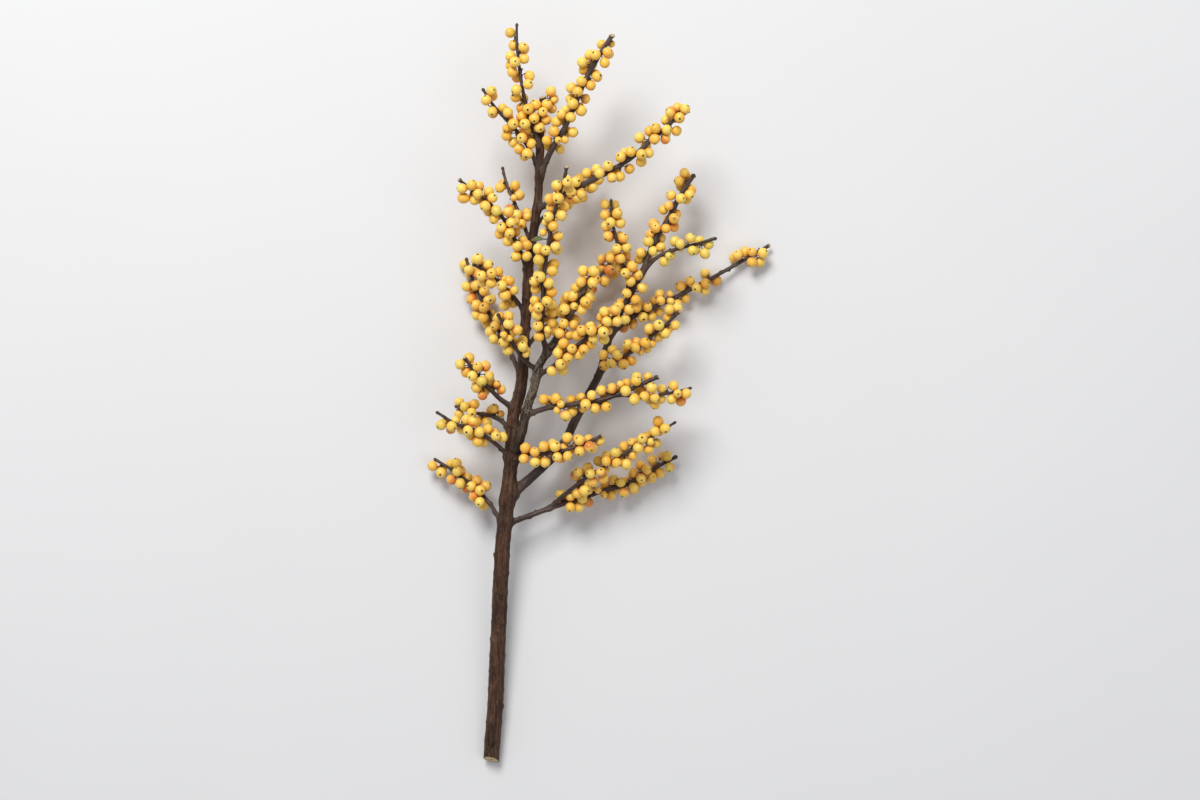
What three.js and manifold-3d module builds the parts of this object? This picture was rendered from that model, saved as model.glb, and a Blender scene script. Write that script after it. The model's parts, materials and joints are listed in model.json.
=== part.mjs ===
// A cut winterberry branch: bare dark wood with clusters of yellow berries.
// It lies on a flat surface at z = 0. Units are millimetres and +Z is up.
// The branch points along +Y with its cut foot at the low end of Y. The
// origin is the middle of the bounding box, on the surface.
//
// Each unbranched shoot is one solid. Each shoot's crop of berries, with the
// short stalks that carry them, is one more solid. A shoot ends in a saddle
// that faces its parent's bark across GAP.

import * as THREE from "three";
import { ConvexGeometry } from "three/addons/geometries/ConvexGeometry.js";
import { mergeVertices } from "three/addons/utils/BufferGeometryUtils.js";
import Module from "manifold-3d";

const wasm = await Module();
wasm.setup();

// ---- Driving dimensions (mm) ----
const GAP = 0.3; // between solids that meet
const BERRY_RADIUS = 5.1; // mean radius of a ripe berry
const BERRY_SPREAD = 0.075; // relative spread of the radius
const SMALL_BERRY_SHARE = 0.07; // share of berries that stayed small
const SMALL_BERRY_RADIUS = 3.7;
const STALK_MIN = 0.9; // shortest and longest stalk
const STALK_MAX = 4.6;
const STALK_RADIUS = 0.62;
const SPUR_RADIUS = 1.7; // leaf-scar knob that the stalks of a cluster share
const SPUR_LIFT = 0.95; // height of the knob's middle above the bark
const SPIRAL = (144 * Math.PI) / 180; // turn from one leaf scar to the next
const MOST_IN_CLUSTER = 6;
const CONTACT_ROOM = 3.4; // half the width that a contact between clusters takes
const WOOD_STEP = [13, 2.4]; // facet length along a shoot: a fixed part, and a share of its foot's radius
const LEAF_LENGTH = 16; // the one withered leaf that stayed on
const LEAF_WIDTH = 6.5;
const LEAF_THICKNESS = 0.6;
const SEED = 20913;

// Turn of the whole branch about its length and its width that sets it down
// on its lowest three points, found from its own hull.
const REST_TURN = [-0.0026, 0.0082, 0];

// ---- The wood ----
// name, parent, radii as [share of the length, radius], the centre line, and
// the crop of berries: bare length at the foot and at the tip, distance from
// one cluster to the next, and the mean number of berries in a cluster.
const SHOOTS = [
  { name: "main_stem", parent: null, sides: 8,
    radii: [[0, 7.6], [0.42, 7.0], [0.5, 5.9], [0.7, 4.7], [1, 3.1]],
    line: [[-30, 0, 7], [-25.5, 60, 12], [-21.8, 135, 22], [-18, 210, 33], [-12.8, 261, 41], [-9, 301.5, 47], [-6.8, 341.2, 52], [0, 366, 54], [3, 397.5, 57], [3.8, 420, 59], [6, 446.2, 61], [6.8, 470.2, 63], [11.2, 506.2, 64], [16.5, 543.8, 66], [18.8, 586.5, 67], [19.5, 619.5, 67], [21.8, 649.5, 67]],
    crop: { foot: 612, tip: 7, pitch: 10.7, mean: 3.4, spiral: 1.1 } },
  { name: "grey_fork", parent: "main_stem", sides: 7,
    radii: [[0, 4.9], [0.4, 4.1], [1, 2.3]],
    line: [[-9, 301.5, 47], [-1.5, 316.5, 53], [6.8, 349.5, 62], [12.8, 366.8, 68], [18, 387, 75], [26.2, 400.5, 80], [34.5, 412.5, 85], [42, 426.8, 90], [52.5, 444, 96], [64.5, 465.8, 102], [73.5, 477, 105]],
    crop: { foot: 140, tip: 6, pitch: 10.7, mean: 3.4 } },
  { name: "right_fork", parent: "main_stem", sides: 7,
    radii: [[0, 4.8], [0.35, 3.9], [0.6, 2.8], [0.9, 2.1], [1, 1.6]],
    line: [[-12.8, 261, 41], [0.8, 273, 38], [21, 291, 35], [41.2, 313.5, 34], [51.8, 335.2, 35], [66.8, 363.8, 37], [76.5, 384, 38], [81.8, 405, 40], [91.5, 431.2, 43], [103.5, 453.8, 46], [114.8, 474, 48], [126, 502.5, 50], [141, 528.8, 51], [154.5, 553.5, 51], [166.5, 571.5, 50]],
    crop: { foot: 190, tip: 8, pitch: 10.7, mean: 3.2 } },
  { name: "left_front", parent: "grey_fork", sides: 5,
    radii: [[0, 2.1], [1, 1.3]],
    line: [[13.5, 382.5, 73], [3, 393.8, 84], [-6.8, 409.5, 93], [-12.8, 421.5, 98], [-21, 436.5, 101]],
    crop: { foot: 26, tip: 4, pitch: 10.7, mean: 3.6 } },
  { name: "crown_front", parent: "grey_fork", sides: 5,
    radii: [[0, 2.6], [0.15, 2.1], [1, 1.3]],
    line: [[24.8, 399, 80], [21, 418.5, 92], [21.8, 440.2, 103], [22.5, 465.8, 112], [24.8, 486, 117], [27.8, 504, 121], [31.5, 523.5, 125], [36.8, 542.2, 129], [41.2, 558, 130], [45, 573, 131]],
    crop: { foot: 24, tip: 9, pitch: 10.7, mean: 3.4 } },
  { name: "right_front", parent: "grey_fork", sides: 5,
    radii: [[0, 2.1], [1, 1.2]],
    line: [[17.2, 376.5, 72], [31.5, 387, 84], [47.2, 401.2, 95], [64.5, 414, 104], [82.5, 427.5, 110], [96, 439.5, 113]],
    crop: { foot: 26, tip: 7, pitch: 10.7, mean: 3.8 } },
  { name: "right_long", parent: "grey_fork", sides: 5,
    radii: [[0, 2.5], [0.7, 2.0], [1, 1.5]],
    line: [[4.5, 341.2, 60], [27.8, 348, 69], [51.8, 351, 75], [75.8, 354.8, 78], [97.5, 362.2, 80], [117, 371.2, 81], [132, 377.2, 82]],
    crop: { foot: 28, tip: 11, pitch: 10.7, mean: 3.6 } },
  { name: "right_long_spur", parent: "right_long", sides: 5,
    radii: [[0, 1.6], [1, 1.0]],
    line: [[92.2, 360, 80], [109.5, 358.8, 78], [127.5, 359.5, 73], [148.5, 363.2, 66], [163.5, 366.8, 61]],
    crop: { foot: 27, tip: 4, pitch: 10.7, mean: 3.1 } },
  { name: "left_mid", parent: "main_stem", sides: 5,
    radii: [[0, 2.6], [0.4, 1.9], [1, 1.2]],
    line: [[-5.2, 346.5, 52], [-19.5, 356.2, 62], [-33, 369.8, 70], [-45.8, 385.5, 75], [-54, 397.5, 78]],
    crop: { foot: 30, tip: 4, pitch: 10.7, mean: 3.6 } },
  { name: "left_mid_low", parent: "main_stem", sides: 5,
    radii: [[0, 2.2], [1, 1.2]],
    line: [[-7.5, 324, 50], [-18, 334.5, 45], [-31.5, 340.5, 39], [-48, 343.5, 33], [-64.5, 349.5, 29]],
    crop: { foot: 24, tip: 5, pitch: 10.7, mean: 3.4 } },
  { name: "left_high", parent: "main_stem", sides: 5,
    radii: [[0, 2.2], [1, 1.1]],
    line: [[7.5, 476.2, 63], [-1.5, 498.8, 73], [-15, 525, 84], [-30.8, 542.2, 91], [-45, 552.8, 95], [-59.2, 563.2, 98]],
    crop: { foot: 22, tip: 8, pitch: 10.7, mean: 3.5 } },
  { name: "left_crown", parent: "main_stem", sides: 5,
    radii: [[0, 1.9], [1, 1.1]],
    line: [[11.2, 502.5, 64], [3, 521.2, 57], [-5.2, 542.2, 51], [-12.8, 559.5, 46], [-18, 579, 43]],
    crop: { foot: 22, tip: 5, pitch: 10.7, mean: 3.2 } },
  { name: "low_right_short", parent: "main_stem", sides: 5,
    radii: [[0, 2.1], [1, 1.2]],
    line: [[-9, 292.5, 46], [2.2, 302.2, 54], [20.2, 303.8, 62], [39.8, 306.8, 67], [60, 313.5, 70], [79.5, 322.5, 72]],
    crop: { foot: 26, tip: 6, pitch: 10.7, mean: 3.6 } },
  { name: "low_right_long", parent: "main_stem", sides: 5,
    radii: [[0, 2.7], [0.3, 2.2], [0.7, 1.75], [1, 1.5]],
    line: [[-15, 234, 36], [13.5, 246, 33], [51.8, 258.8, 26], [67.5, 263.2, 23], [81.8, 268.5, 20], [96, 271.5, 17], [109.5, 277.5, 15], [123, 285.8, 13], [138, 294, 12], [151.5, 300.8, 12]],
    crop: { foot: 60, tip: 7, pitch: 10.7, mean: 3.1 } },
  { name: "low_right_high", parent: "low_right_long", sides: 5,
    radii: [[0, 1.9], [1, 1.0]],
    line: [[26.2, 249.8, 31], [45, 267, 38], [69, 285, 46], [88.5, 297, 51], [108, 309.8, 55], [127.5, 321.8, 58], [148.5, 334.5, 60]],
    crop: { foot: 36, tip: 8, pitch: 10.7, mean: 3.5 } },
  { name: "far_right", parent: "right_fork", sides: 5,
    radii: [[0, 2.4], [0.4, 1.95], [0.8, 1.55], [1, 1.25]],
    line: [[85.5, 418.5, 42], [103.5, 432.8, 35], [126, 444, 27], [148.5, 454.5, 20], [182.2, 472.5, 14], [212.2, 489, 11], [243, 507, 10]],
    crop: { foot: 20, tip: 12, pitch: 12, mean: 3.4, bare: [118, 150] } },
  { name: "right_side", parent: "right_fork", sides: 5,
    radii: [[0, 2.0], [1, 1.1]],
    line: [[75.8, 382.5, 38], [91.5, 393.8, 46], [108.8, 402.8, 52], [126, 417, 59], [141.8, 429.8, 64], [153, 441, 67]],
    crop: { foot: 18, tip: 7, pitch: 10.7, mean: 3.4 } },
  { name: "crown_right", parent: "main_stem", sides: 5,
    radii: [[0, 2.8], [0.5, 2.3], [1, 1.85]],
    line: [[18.8, 566.2, 66], [26.2, 585, 75], [34.5, 600, 80], [42, 612, 84], [51, 631.5, 89], [60.8, 654, 93], [74.2, 678, 96], [89.2, 700.5, 98]],
    crop: { foot: 30, tip: 8, pitch: 10.7, mean: 3.2 } },
  { name: "back_right", parent: "main_stem", sides: 5,
    radii: [[0, 2.1], [1, 1.1]],
    line: [[3.8, 403.5, 57], [19.5, 421.5, 47], [39.8, 440.2, 37], [60, 457.5, 29], [77.2, 476.2, 24], [93, 498.8, 22]],
    crop: { foot: 34, tip: 6, pitch: 10.7, mean: 3.4 } },
  { name: "back_left", parent: "main_stem", sides: 5,
    radii: [[0, 2.2], [1, 1.2]],
    line: [[1.5, 376.5, 55], [-10.5, 401.2, 40], [-24, 426, 26], [-37.5, 450, 17], [-48, 472.5, 13], [-54, 493.5, 12]],
    crop: { foot: 42, tip: 6, pitch: 10.7, mean: 3.4 } },
  { name: "left_upper", parent: "main_stem", sides: 5,
    radii: [[0, 2.0], [1, 1.1]],
    line: [[6, 435, 60], [-5.2, 451.5, 70], [-18, 465, 78], [-31.5, 475.5, 84], [-45, 483, 88]],
    crop: { foot: 22, tip: 5, pitch: 10.7, mean: 3.6 } },
  { name: "back_crown", parent: "main_stem", sides: 5,
    radii: [[0, 1.9], [1, 1.1]],
    line: [[13.5, 521.2, 65], [27, 534, 56], [43.5, 546, 48], [60, 560.2, 42], [73.5, 579, 39]],
    crop: { foot: 24, tip: 6, pitch: 10.7, mean: 3.2 } },
  { name: "crown_left", parent: "main_stem", sides: 5,
    radii: [[0, 2.1], [1, 1.0]],
    line: [[19.5, 592.5, 67], [11.2, 615, 73], [3.8, 641.2, 77], [-0.8, 669, 80], [-3, 691.5, 82], [-3, 711, 83]],
    crop: { foot: 26, tip: 9, pitch: 12, mean: 3 } },
  { name: "low_left", parent: "main_stem", sides: 5,
    radii: [[0, 2.1], [1, 1.1]],
    line: [[-16.5, 231, 36], [-30, 255, 31], [-48, 273, 23], [-66, 286.5, 16], [-85.5, 298.5, 12]],
    crop: { foot: 36, tip: 6, pitch: 10.7, mean: 3.4 } },
  { name: "high_right", parent: "main_stem", sides: 5,
    radii: [[0, 2.6], [0.6, 1.95], [1, 1.45]],
    line: [[16.5, 536.2, 66], [33, 545.2, 76], [58.5, 558, 86], [82.5, 569.2, 90], [103.5, 582, 92], [127.5, 603, 93], [147, 619.5, 93], [161.2, 628.5, 92]],
    crop: { foot: 28, tip: 10, pitch: 12, mean: 3.4 } },
  { name: "crown_left_low", parent: "main_stem", sides: 5,
    radii: [[0, 2.0], [1, 1.1]],
    line: [[18.4, 572, 67], [8, 594, 71], [-7, 614, 75], [-24, 632, 78], [-36, 650, 79]],
    crop: { foot: 24, tip: 7, pitch: 10.7, mean: 3.2 } },
  { name: "left_low_front", parent: "main_stem", sides: 5,
    radii: [[0, 2.1], [1, 1.1]],
    line: [[-9.5, 297, 47], [-22, 312, 60], [-40, 325, 68], [-60, 332, 73], [-80, 344, 75]],
    crop: { foot: 30, tip: 6, pitch: 10.7, mean: 3.4 } },
  { name: "right_tip_side", parent: "right_fork", sides: 5,
    radii: [[0, 2.0], [0.5, 1.5], [1, 1.15]],
    line: [[116, 477, 48], [130, 491, 57], [150, 499, 63], [170, 504, 66], [187, 509, 66]],
    crop: { foot: 27, tip: 5, pitch: 12, mean: 3.1 } },
  { name: "right_inner", parent: "right_fork", sides: 5,
    radii: [[0, 1.9], [1, 1.1]],
    line: [[103.5, 453.8, 46], [101, 472, 55], [94, 496, 63], [88, 522, 68], [86, 546, 70]],
    crop: { foot: 22, tip: 6, pitch: 10.7, mean: 3.35 } },
];

const BARK = {
  main_stem: 0x3b2a22, grey_fork: 0x55493f, right_fork: 0x3d2f28, other: 0x40342d,
};
const BERRY_COLOUR = 0xe9b63c;
const LEAF_COLOUR = 0x4c5a26;

// Where the leaf stands: its shoot, the share of that shoot's length, and the
// way that its blade points.
const LEAF = { shoot: "crown_front", share: 0.62, way: [-0.86, -0.3, -0.32], face: [0.1, 0.55, 0.83] };

// ---- Repeatable numbers between 0 and 1 ----
let state = SEED;
function random() {
  state = (state + 0x6d2b79f5) | 0;
  let t = Math.imul(state ^ (state >>> 15), 1 | state);
  t = (t + Math.imul(t ^ (t >>> 7), 61 | t)) ^ t;
  return ((t ^ (t >>> 14)) >>> 0) / 4294967296;
}
const spread = () => random() + random() + random() - 1.5; // about -1.5 to 1.5

// ---- Centre lines ----
const byName = new Map();
for (const shoot of SHOOTS) {
  const points = shoot.line.map((p) => new THREE.Vector3(...p));
  const parent = byName.get(shoot.parent);
  if (parent) {
    // the foot of a side shoot sits on its parent's centre line
    let best = parent.samples[0];
    for (const s of parent.samples)
      if (s.at.distanceTo(points[0]) < best.at.distanceTo(points[0])) best = s;
    points[0].copy(best.at);
  }
  shoot.curve = new THREE.CatmullRomCurve3(points, false, "centripetal");
  shoot.length = shoot.curve.getLength();
  const count = Math.ceil(shoot.length / 2);
  shoot.samples = shoot.curve.getSpacedPoints(count).map((at, i) => ({
    shoot, at,
    tangent: shoot.curve.getTangentAt(i / count),
    radius: radiusAt(shoot, i / count),
  }));
  byName.set(shoot.name, shoot);
}

function radiusAt(shoot, share) {
  const r = shoot.radii;
  for (let i = 1; i < r.length; i++)
    if (share <= r[i][0])
      return THREE.MathUtils.mapLinear(share, r[i - 1][0], r[i][0], r[i - 1][1], r[i][1]);
  return r[r.length - 1][1];
}

// ---- The leaf's place ----
const leafSample = byName.get(LEAF.shoot).samples[
  Math.round(LEAF.share * (byName.get(LEAF.shoot).samples.length - 1))];
const leafWay = new THREE.Vector3(...LEAF.way);
leafWay.addScaledVector(leafSample.tangent, -leafWay.dot(leafSample.tangent) * 0.6).normalize();
const leafFace = new THREE.Vector3(...LEAF.face);
leafFace.addScaledVector(leafWay, -leafFace.dot(leafWay)).normalize();
const leafFoot = leafSample.at.clone().addScaledVector(leafWay, leafSample.radius + GAP + 0.25);
// the berries keep clear of a row of balls along the blade
const LEAF_ROOM = [[3, 1.2], [6, 2.6], [9.5, 3.3], [13, 2.6], [15.5, 1.4]].map(([s, radius]) => ({
  shoot: null, radius, at: leafFoot.clone().addScaledVector(leafWay, s),
}));

// ---- Wood near a point ----
const CELL = 20;
const cells = new Map();
const cellOf = (v) => [v.x, v.y, v.z].map((n) => Math.floor(n / CELL));
for (const shoot of [...SHOOTS, { samples: LEAF_ROOM }])
  for (const sample of shoot.samples) {
    const [i, j, k] = cellOf(sample.at);
    for (let x = i - 1; x <= i + 1; x++)
      for (let y = j - 1; y <= j + 1; y++)
        for (let z = k - 1; z <= k + 1; z++) {
          const key = x + "," + y + "," + z;
          if (!cells.has(key)) cells.set(key, []);
          cells.get(key).push(sample);
        }
  }
// The samples of wood that a ball of this radius at `v` could touch.
const nearWood = (v, radius) => (cells.get(cellOf(v).join()) ?? []).filter(
  (s) => v.distanceToSquared(s.at) < (radius + s.radius + 1) ** 2);

// ---- Berries: where each one hangs ----
const berries = [];
const clusters = [];
for (const shoot of SHOOTS) {
  if (!shoot.crop) continue;
  const { foot, tip, pitch, mean, bare, spiral = SPIRAL } = shoot.crop;
  let turn = random() * 2 * Math.PI;
  let last = null;
  for (let s = foot + 3 * random(); s < shoot.length - tip; s += pitch * (0.86 + 0.28 * random())) {
    turn += spiral + 0.35 * spread();
    if (bare && s > bare[0] && s < bare[1]) continue;
    const sample = shoot.samples[Math.round((s / shoot.length) * (shoot.samples.length - 1))];
    const side = new THREE.Vector3(0, 0, 1).cross(sample.tangent).normalize();
    const up = new THREE.Vector3().crossVectors(sample.tangent, side);
    // a leaf scar is never under the foot of another shoot
    const out = new THREE.Vector3(), knob = new THREE.Vector3();
    let clear = false;
    for (let tries = 0; tries < 6 && !clear; tries++, turn += clear ? 0 : spiral / 2) {
      out.copy(side).multiplyScalar(Math.cos(turn)).addScaledVector(up, Math.sin(turn));
      knob.copy(sample.at).addScaledVector(out, sample.radius + SPUR_LIFT + 1.5);
      clear = nearWood(knob, 2.5).every((s) => s.shoot === shoot || s.at.distanceTo(knob) > s.radius + SPUR_RADIUS + 2.2);
    }
    if (!clear) continue;
    const around = new THREE.Vector3().crossVectors(sample.tangent, out);
    const count = Math.max(1, Math.min(MOST_IN_CLUSTER, Math.round(mean + 1.05 * spread())));
    const cluster = {
      shoot, members: [], out: out.clone(), along: sample.tangent, around,
      bark: sample.at.clone().addScaledVector(out, sample.radius),
      foot: sample.at.clone().addScaledVector(out, sample.radius + SPUR_LIFT),
      before: last,
    };
    const first = random() * 2 * Math.PI;
    cluster.first = first;
    for (let k = 0; k < count; k++) {
      const radius = random() < SMALL_BERRY_SHARE
        ? SMALL_BERRY_RADIUS * (1 + 0.1 * spread())
        : BERRY_RADIUS * (1 + BERRY_SPREAD * spread());
      const lean = count === 1 ? 0.3 * random() : 0.75 + 0.4 * random();
      const way = first + (2 * Math.PI * k) / count + 0.3 * spread();
      const direction = out.clone().multiplyScalar(Math.cos(lean))
        .addScaledVector(sample.tangent, Math.sin(lean) * Math.cos(way))
        .addScaledVector(around, Math.sin(lean) * Math.sin(way));
      const berry = {
        shoot, cluster, radius,
        at: cluster.foot.clone().addScaledVector(direction, radius + 1.6 + 1.4 * random()),
        spin: [random() * 6.28, random() * 6.28, random() * 6.28],
      };
      cluster.members.push(berry);
      berries.push(berry);
    }
    clusters.push(cluster);
    last = cluster;
  }
}

// The berries settle: they press on one another and on the bark, their stalks
// hold them to their leaf scars, and neighbouring clusters of a shoot touch.
const links = [];
const step = new THREE.Vector3();
function settle(rounds) {
  for (let n = 0; n < rounds; n++) {
    for (let i = 0; i < berries.length; i++)
      for (let j = i + 1; j < berries.length; j++) {
        const a = berries[i], b = berries[j];
        const reach = a.radius + b.radius + (a.shoot === b.shoot ? 0.02 : GAP + 0.15);
        if (Math.abs(a.at.y - b.at.y) > reach || Math.abs(a.at.x - b.at.x) > reach) continue;
        const d = a.at.distanceTo(b.at);
        if (d >= reach) continue;
        step.subVectors(b.at, a.at).multiplyScalar((0.5 * (reach - d)) / Math.max(d, 0.01));
        a.at.sub(step);
        b.at.add(step);
      }
    for (const [a, b] of links) {
      const reach = a.radius + b.radius + 0.05, d = a.at.distanceTo(b.at);
      if (d <= reach) continue;
      step.subVectors(b.at, a.at).multiplyScalar((0.45 * (d - reach)) / d);
      a.at.add(step);
      b.at.sub(step);
    }
    for (const [a, b] of links) {
      // the contact passes beside the wood, so its two berries hang on one side
      const middle = new THREE.Vector3().addVectors(a.at, b.at).multiplyScalar(0.5);
      for (const s of nearWood(middle, CONTACT_ROOM)) {
        const reach = s.radius + CONTACT_ROOM + GAP, d = middle.distanceTo(s.at);
        if (d >= reach) continue;
        step.subVectors(middle, s.at).setLength(reach - d);
        a.at.add(step);
        b.at.add(step);
        middle.add(step);
      }
    }
    for (const c of clusters)
      for (const b of berries) {
        // a berry keeps clear of the leaf scars of other clusters
        if (b.cluster === c) continue;
        const reach = b.radius + SPUR_RADIUS * 0.8 + (b.shoot === c.shoot ? 0 : GAP);
        if (Math.abs(b.at.y - c.foot.y) > reach) continue;
        const d = b.at.distanceTo(c.foot);
        if (d < reach) b.at.addScaledVector(step.subVectors(b.at, c.foot).normalize(), reach - d);
      }
    for (const b of berries) {
      const low = b.radius + STALK_MIN, high = b.radius + STALK_MAX;
      const d = b.at.distanceTo(b.cluster.foot);
      const want = Math.min(Math.max(d, low), high);
      if (d !== want) b.at.sub(b.cluster.foot).multiplyScalar(want / d).add(b.cluster.foot);
      for (const [share, wide] of [[0.2, 1.15], [0.35, 0.95], [0.5, 0.75]]) {
        // the stalk, which tapers from its scar, passes beside the wood too
        const on = b.cluster.foot.clone().lerp(b.at, share);
        for (const s of nearWood(on, 2)) {
          const gap = s.radius + wide + GAP + 0.05 - on.distanceTo(s.at);
          if (gap > 0) b.at.addScaledVector(step.subVectors(on, s.at).normalize(), (0.7 * gap) / share);
        }
      }
    }
    for (const b of berries)
      for (const s of nearWood(b.at, b.radius)) {
        const reach = b.radius + s.radius + GAP + 0.12, d = b.at.distanceTo(s.at);
        if (d < reach) b.at.addScaledVector(step.subVectors(b.at, s.at).normalize(), reach - d);
      }
  }
}
settle(60);
for (const c of clusters) {
  if (!c.before) continue;
  let pair = null, least = Infinity;
  for (const a of c.before.members)
    for (const b of c.members) {
      const middle = new THREE.Vector3().addVectors(a.at, b.at).multiplyScalar(0.5);
      const inside = Math.max(0, ...nearWood(middle, CONTACT_ROOM)
        .map((s) => s.radius + CONTACT_ROOM + GAP - middle.distanceTo(s.at)));
      const gap = a.at.distanceTo(b.at) - a.radius - b.radius + 1.5 * inside;
      if (gap < least) [least, pair] = [gap, [a, b]];
    }
  c.bridged = least < 16;
  if (c.bridged) links.push(pair);
}
settle(260);

// ---- Solids ----
function solid(geometry) {
  const g = geometry.clone();
  g.deleteAttribute("normal");
  g.deleteAttribute("uv");
  const merged = mergeVertices(g, 1e-4);
  return new wasm.Manifold(new wasm.Mesh({
    numProp: 3,
    vertProperties: new Float32Array(merged.attributes.position.array),
    triVerts: new Uint32Array(merged.index.array),
  }));
}

function geometryOf(made) {
  const mesh = made.getMesh();
  const position = new Float32Array(mesh.numVert * 3);
  for (let i = 0; i < mesh.numVert; i++)
    position.set(mesh.vertProperties.subarray(i * mesh.numProp, i * mesh.numProp + 3), i * 3);
  const g = new THREE.BufferGeometry()
    .setAttribute("position", new THREE.BufferAttribute(position, 3))
    .setIndex(new THREE.BufferAttribute(new Uint32Array(mesh.triVerts), 1))
    .toNonIndexed();
  g.computeVertexNormals();
  return g;
}

// A round section swept along the centre line, drawn in to the shoot's radius.
function woodOf(shoot, extra) {
  const section = new THREE.Shape();
  for (let i = 0; i < shoot.sides; i++) {
    const a = (2 * Math.PI * i) / shoot.sides;
    if (i === 0) section.moveTo(1, 0);
    else section.lineTo(Math.cos(a), Math.sin(a));
  }
  section.closePath();
  const steps = Math.max(4, Math.round(shoot.length / (WOOD_STEP[0] + WOOD_STEP[1] * shoot.radii[0][1])));
  const g = new THREE.ExtrudeGeometry(section, {
    steps, extrudePath: shoot.curve, bevelEnabled: false, curveSegments: 1,
  });
  const rings = shoot.curve.getSpacedPoints(steps);
  const position = g.attributes.position;
  const v = new THREE.Vector3();
  for (let i = 0; i < position.count; i++) {
    v.fromBufferAttribute(position, i);
    let near = 0;
    for (let k = 1; k <= steps; k++)
      if (rings[k].distanceTo(v) < rings[near].distanceTo(v)) near = k;
    const r = radiusAt(shoot, near / steps) + extra;
    v.sub(rings[near]).multiplyScalar(r).add(rings[near]);
    position.setXYZ(i, v.x, v.y, v.z);
  }
  const made = solid(g);
  return made.volume() < 0 ? solid(turned(g)) : made;
}
function turned(g) {
  const p = g.attributes.position.array;
  for (let i = 0; i < p.length; i += 9)
    for (let k = 0; k < 3; k++) [p[i + 3 + k], p[i + 6 + k]] = [p[i + 6 + k], p[i + 3 + k]];
  return g;
}

// Small closed nets of triangles that become one closed net: a neck takes one
// face off each of two balls and joins the two rims with three quads.
class Net {
  points = [];
  faces = [];
  add(geometry, middle, radius) {
    const g = geometry.clone();
    g.deleteAttribute("normal");
    g.deleteAttribute("uv");
    const merged = mergeVertices(g, 1e-4);
    const ball = { middle, radius, free: [] };
    const from = this.points.length, p = merged.attributes.position;
    for (let i = 0; i < p.count; i++)
      this.points.push(new THREE.Vector3().fromBufferAttribute(p, i).add(middle));
    for (let i = 0; i < merged.index.count; i += 3) {
      const face = [0, 1, 2].map((k) => from + merged.index.getX(i + k));
      this.faces.push(face);
      ball.free.push(face);
    }
    return ball;
  }
  normal(face) {
    const [a, b, c] = face.map((i) => this.points[i]);
    return new THREE.Vector3().subVectors(b, a).cross(new THREE.Vector3().subVectors(c, a)).normalize();
  }
  // The free face of `ball` that looks along `way`, or null where none does.
  facing(ball, way, least) {
    let best = null, most = least;
    for (const face of ball.free) {
      const dot = this.normal(face).dot(way);
      if (dot > most) [best, most] = [face, dot];
    }
    return best;
  }
  // Opens a face. With a width, the opening is a smaller triangle drawn out to
  // the ball's surface, and the rest of the face stays closed round it.
  open(ball, face, way, width) {
    ball.free.splice(ball.free.indexOf(face), 1);
    this.faces.splice(this.faces.indexOf(face), 1);
    if (!width) return face;
    const out = this.normal(face).multiplyScalar(0.35).add(way).normalize();
    const centre = ball.middle.clone().addScaledVector(out, ball.radius * 0.97);
    const rim = face.map((i) => {
      const arm = this.points[i].clone().sub(centre);
      arm.addScaledVector(out, -arm.dot(out)).setLength(width);
      this.points.push(arm.add(centre));
      return this.points.length - 1;
    });
    for (let i = 0; i < 3; i++) {
      const j = (i + 1) % 3;
      this.faces.push([face[i], face[j], rim[j]], [face[i], rim[j], rim[i]]);
    }
    return rim;
  }
  neck(a, b, widthA, widthB, least) {
    const way = new THREE.Vector3().subVectors(b.middle, a.middle).normalize();
    const back = way.clone().negate();
    const faceA = this.facing(a, way, least), faceB = this.facing(b, back, least);
    if (!faceA || !faceB) return false;
    const s = this.open(a, faceA, way, widthA), t = this.open(b, faceB, back, widthB);
    let turn = 0, least2 = Infinity;
    for (let k = 0; k < 3; k++) {
      let sum = 0;
      for (let i = 0; i < 3; i++) sum += this.points[s[i]].distanceTo(this.points[t[(k - i + 3) % 3]]);
      if (sum < least2) [least2, turn] = [sum, k];
    }
    for (let i = 0; i < 3; i++) {
      const j = (i + 1) % 3;
      const ti = t[(turn - i + 3) % 3], tj = t[(turn - j + 3) % 3];
      this.faces.push([s[i], s[j], tj], [s[i], tj, ti]);
    }
    return true;
  }
  geometry() {
    const position = new Float32Array(this.faces.length * 9);
    this.faces.flat().forEach((i, n) => this.points[i].toArray(position, n * 3));
    const g = new THREE.BufferGeometry()
      .setAttribute("position", new THREE.BufferAttribute(position, 3));
    g.computeVertexNormals();
    return g;
  }
}

const branch = new THREE.Group();
branch.name = "winterberry_branch";

const wood = new Map();
for (const shoot of SHOOTS) {
  let made = woodOf(shoot, 0);
  if (shoot.parent) made = made.subtract(wood.get(shoot.parent).swollen);
  wood.set(shoot.name, { made, swollen: woodOf(shoot, GAP + 0.05) });
  const colour = BARK[shoot.name] ?? BARK.other;
  const mesh = new THREE.Mesh(
    geometryOf(made),
    new THREE.MeshStandardMaterial({ color: colour, roughness: 0.8, metalness: 0 }),
  );
  mesh.name = shoot.parent ? (shoot.name.endsWith("fork") ? shoot.name : "shoot_" + shoot.name) : shoot.name;
  branch.add(mesh);
}

// A run is a stretch of a shoot whose clusters touch, one after the other.
const runs = [];
for (const c of clusters) {
  if (c.before && c.bridged) runs[runs.length - 1].push(c);
  else runs.push([c]);
}
const taken = new Map();
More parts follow.
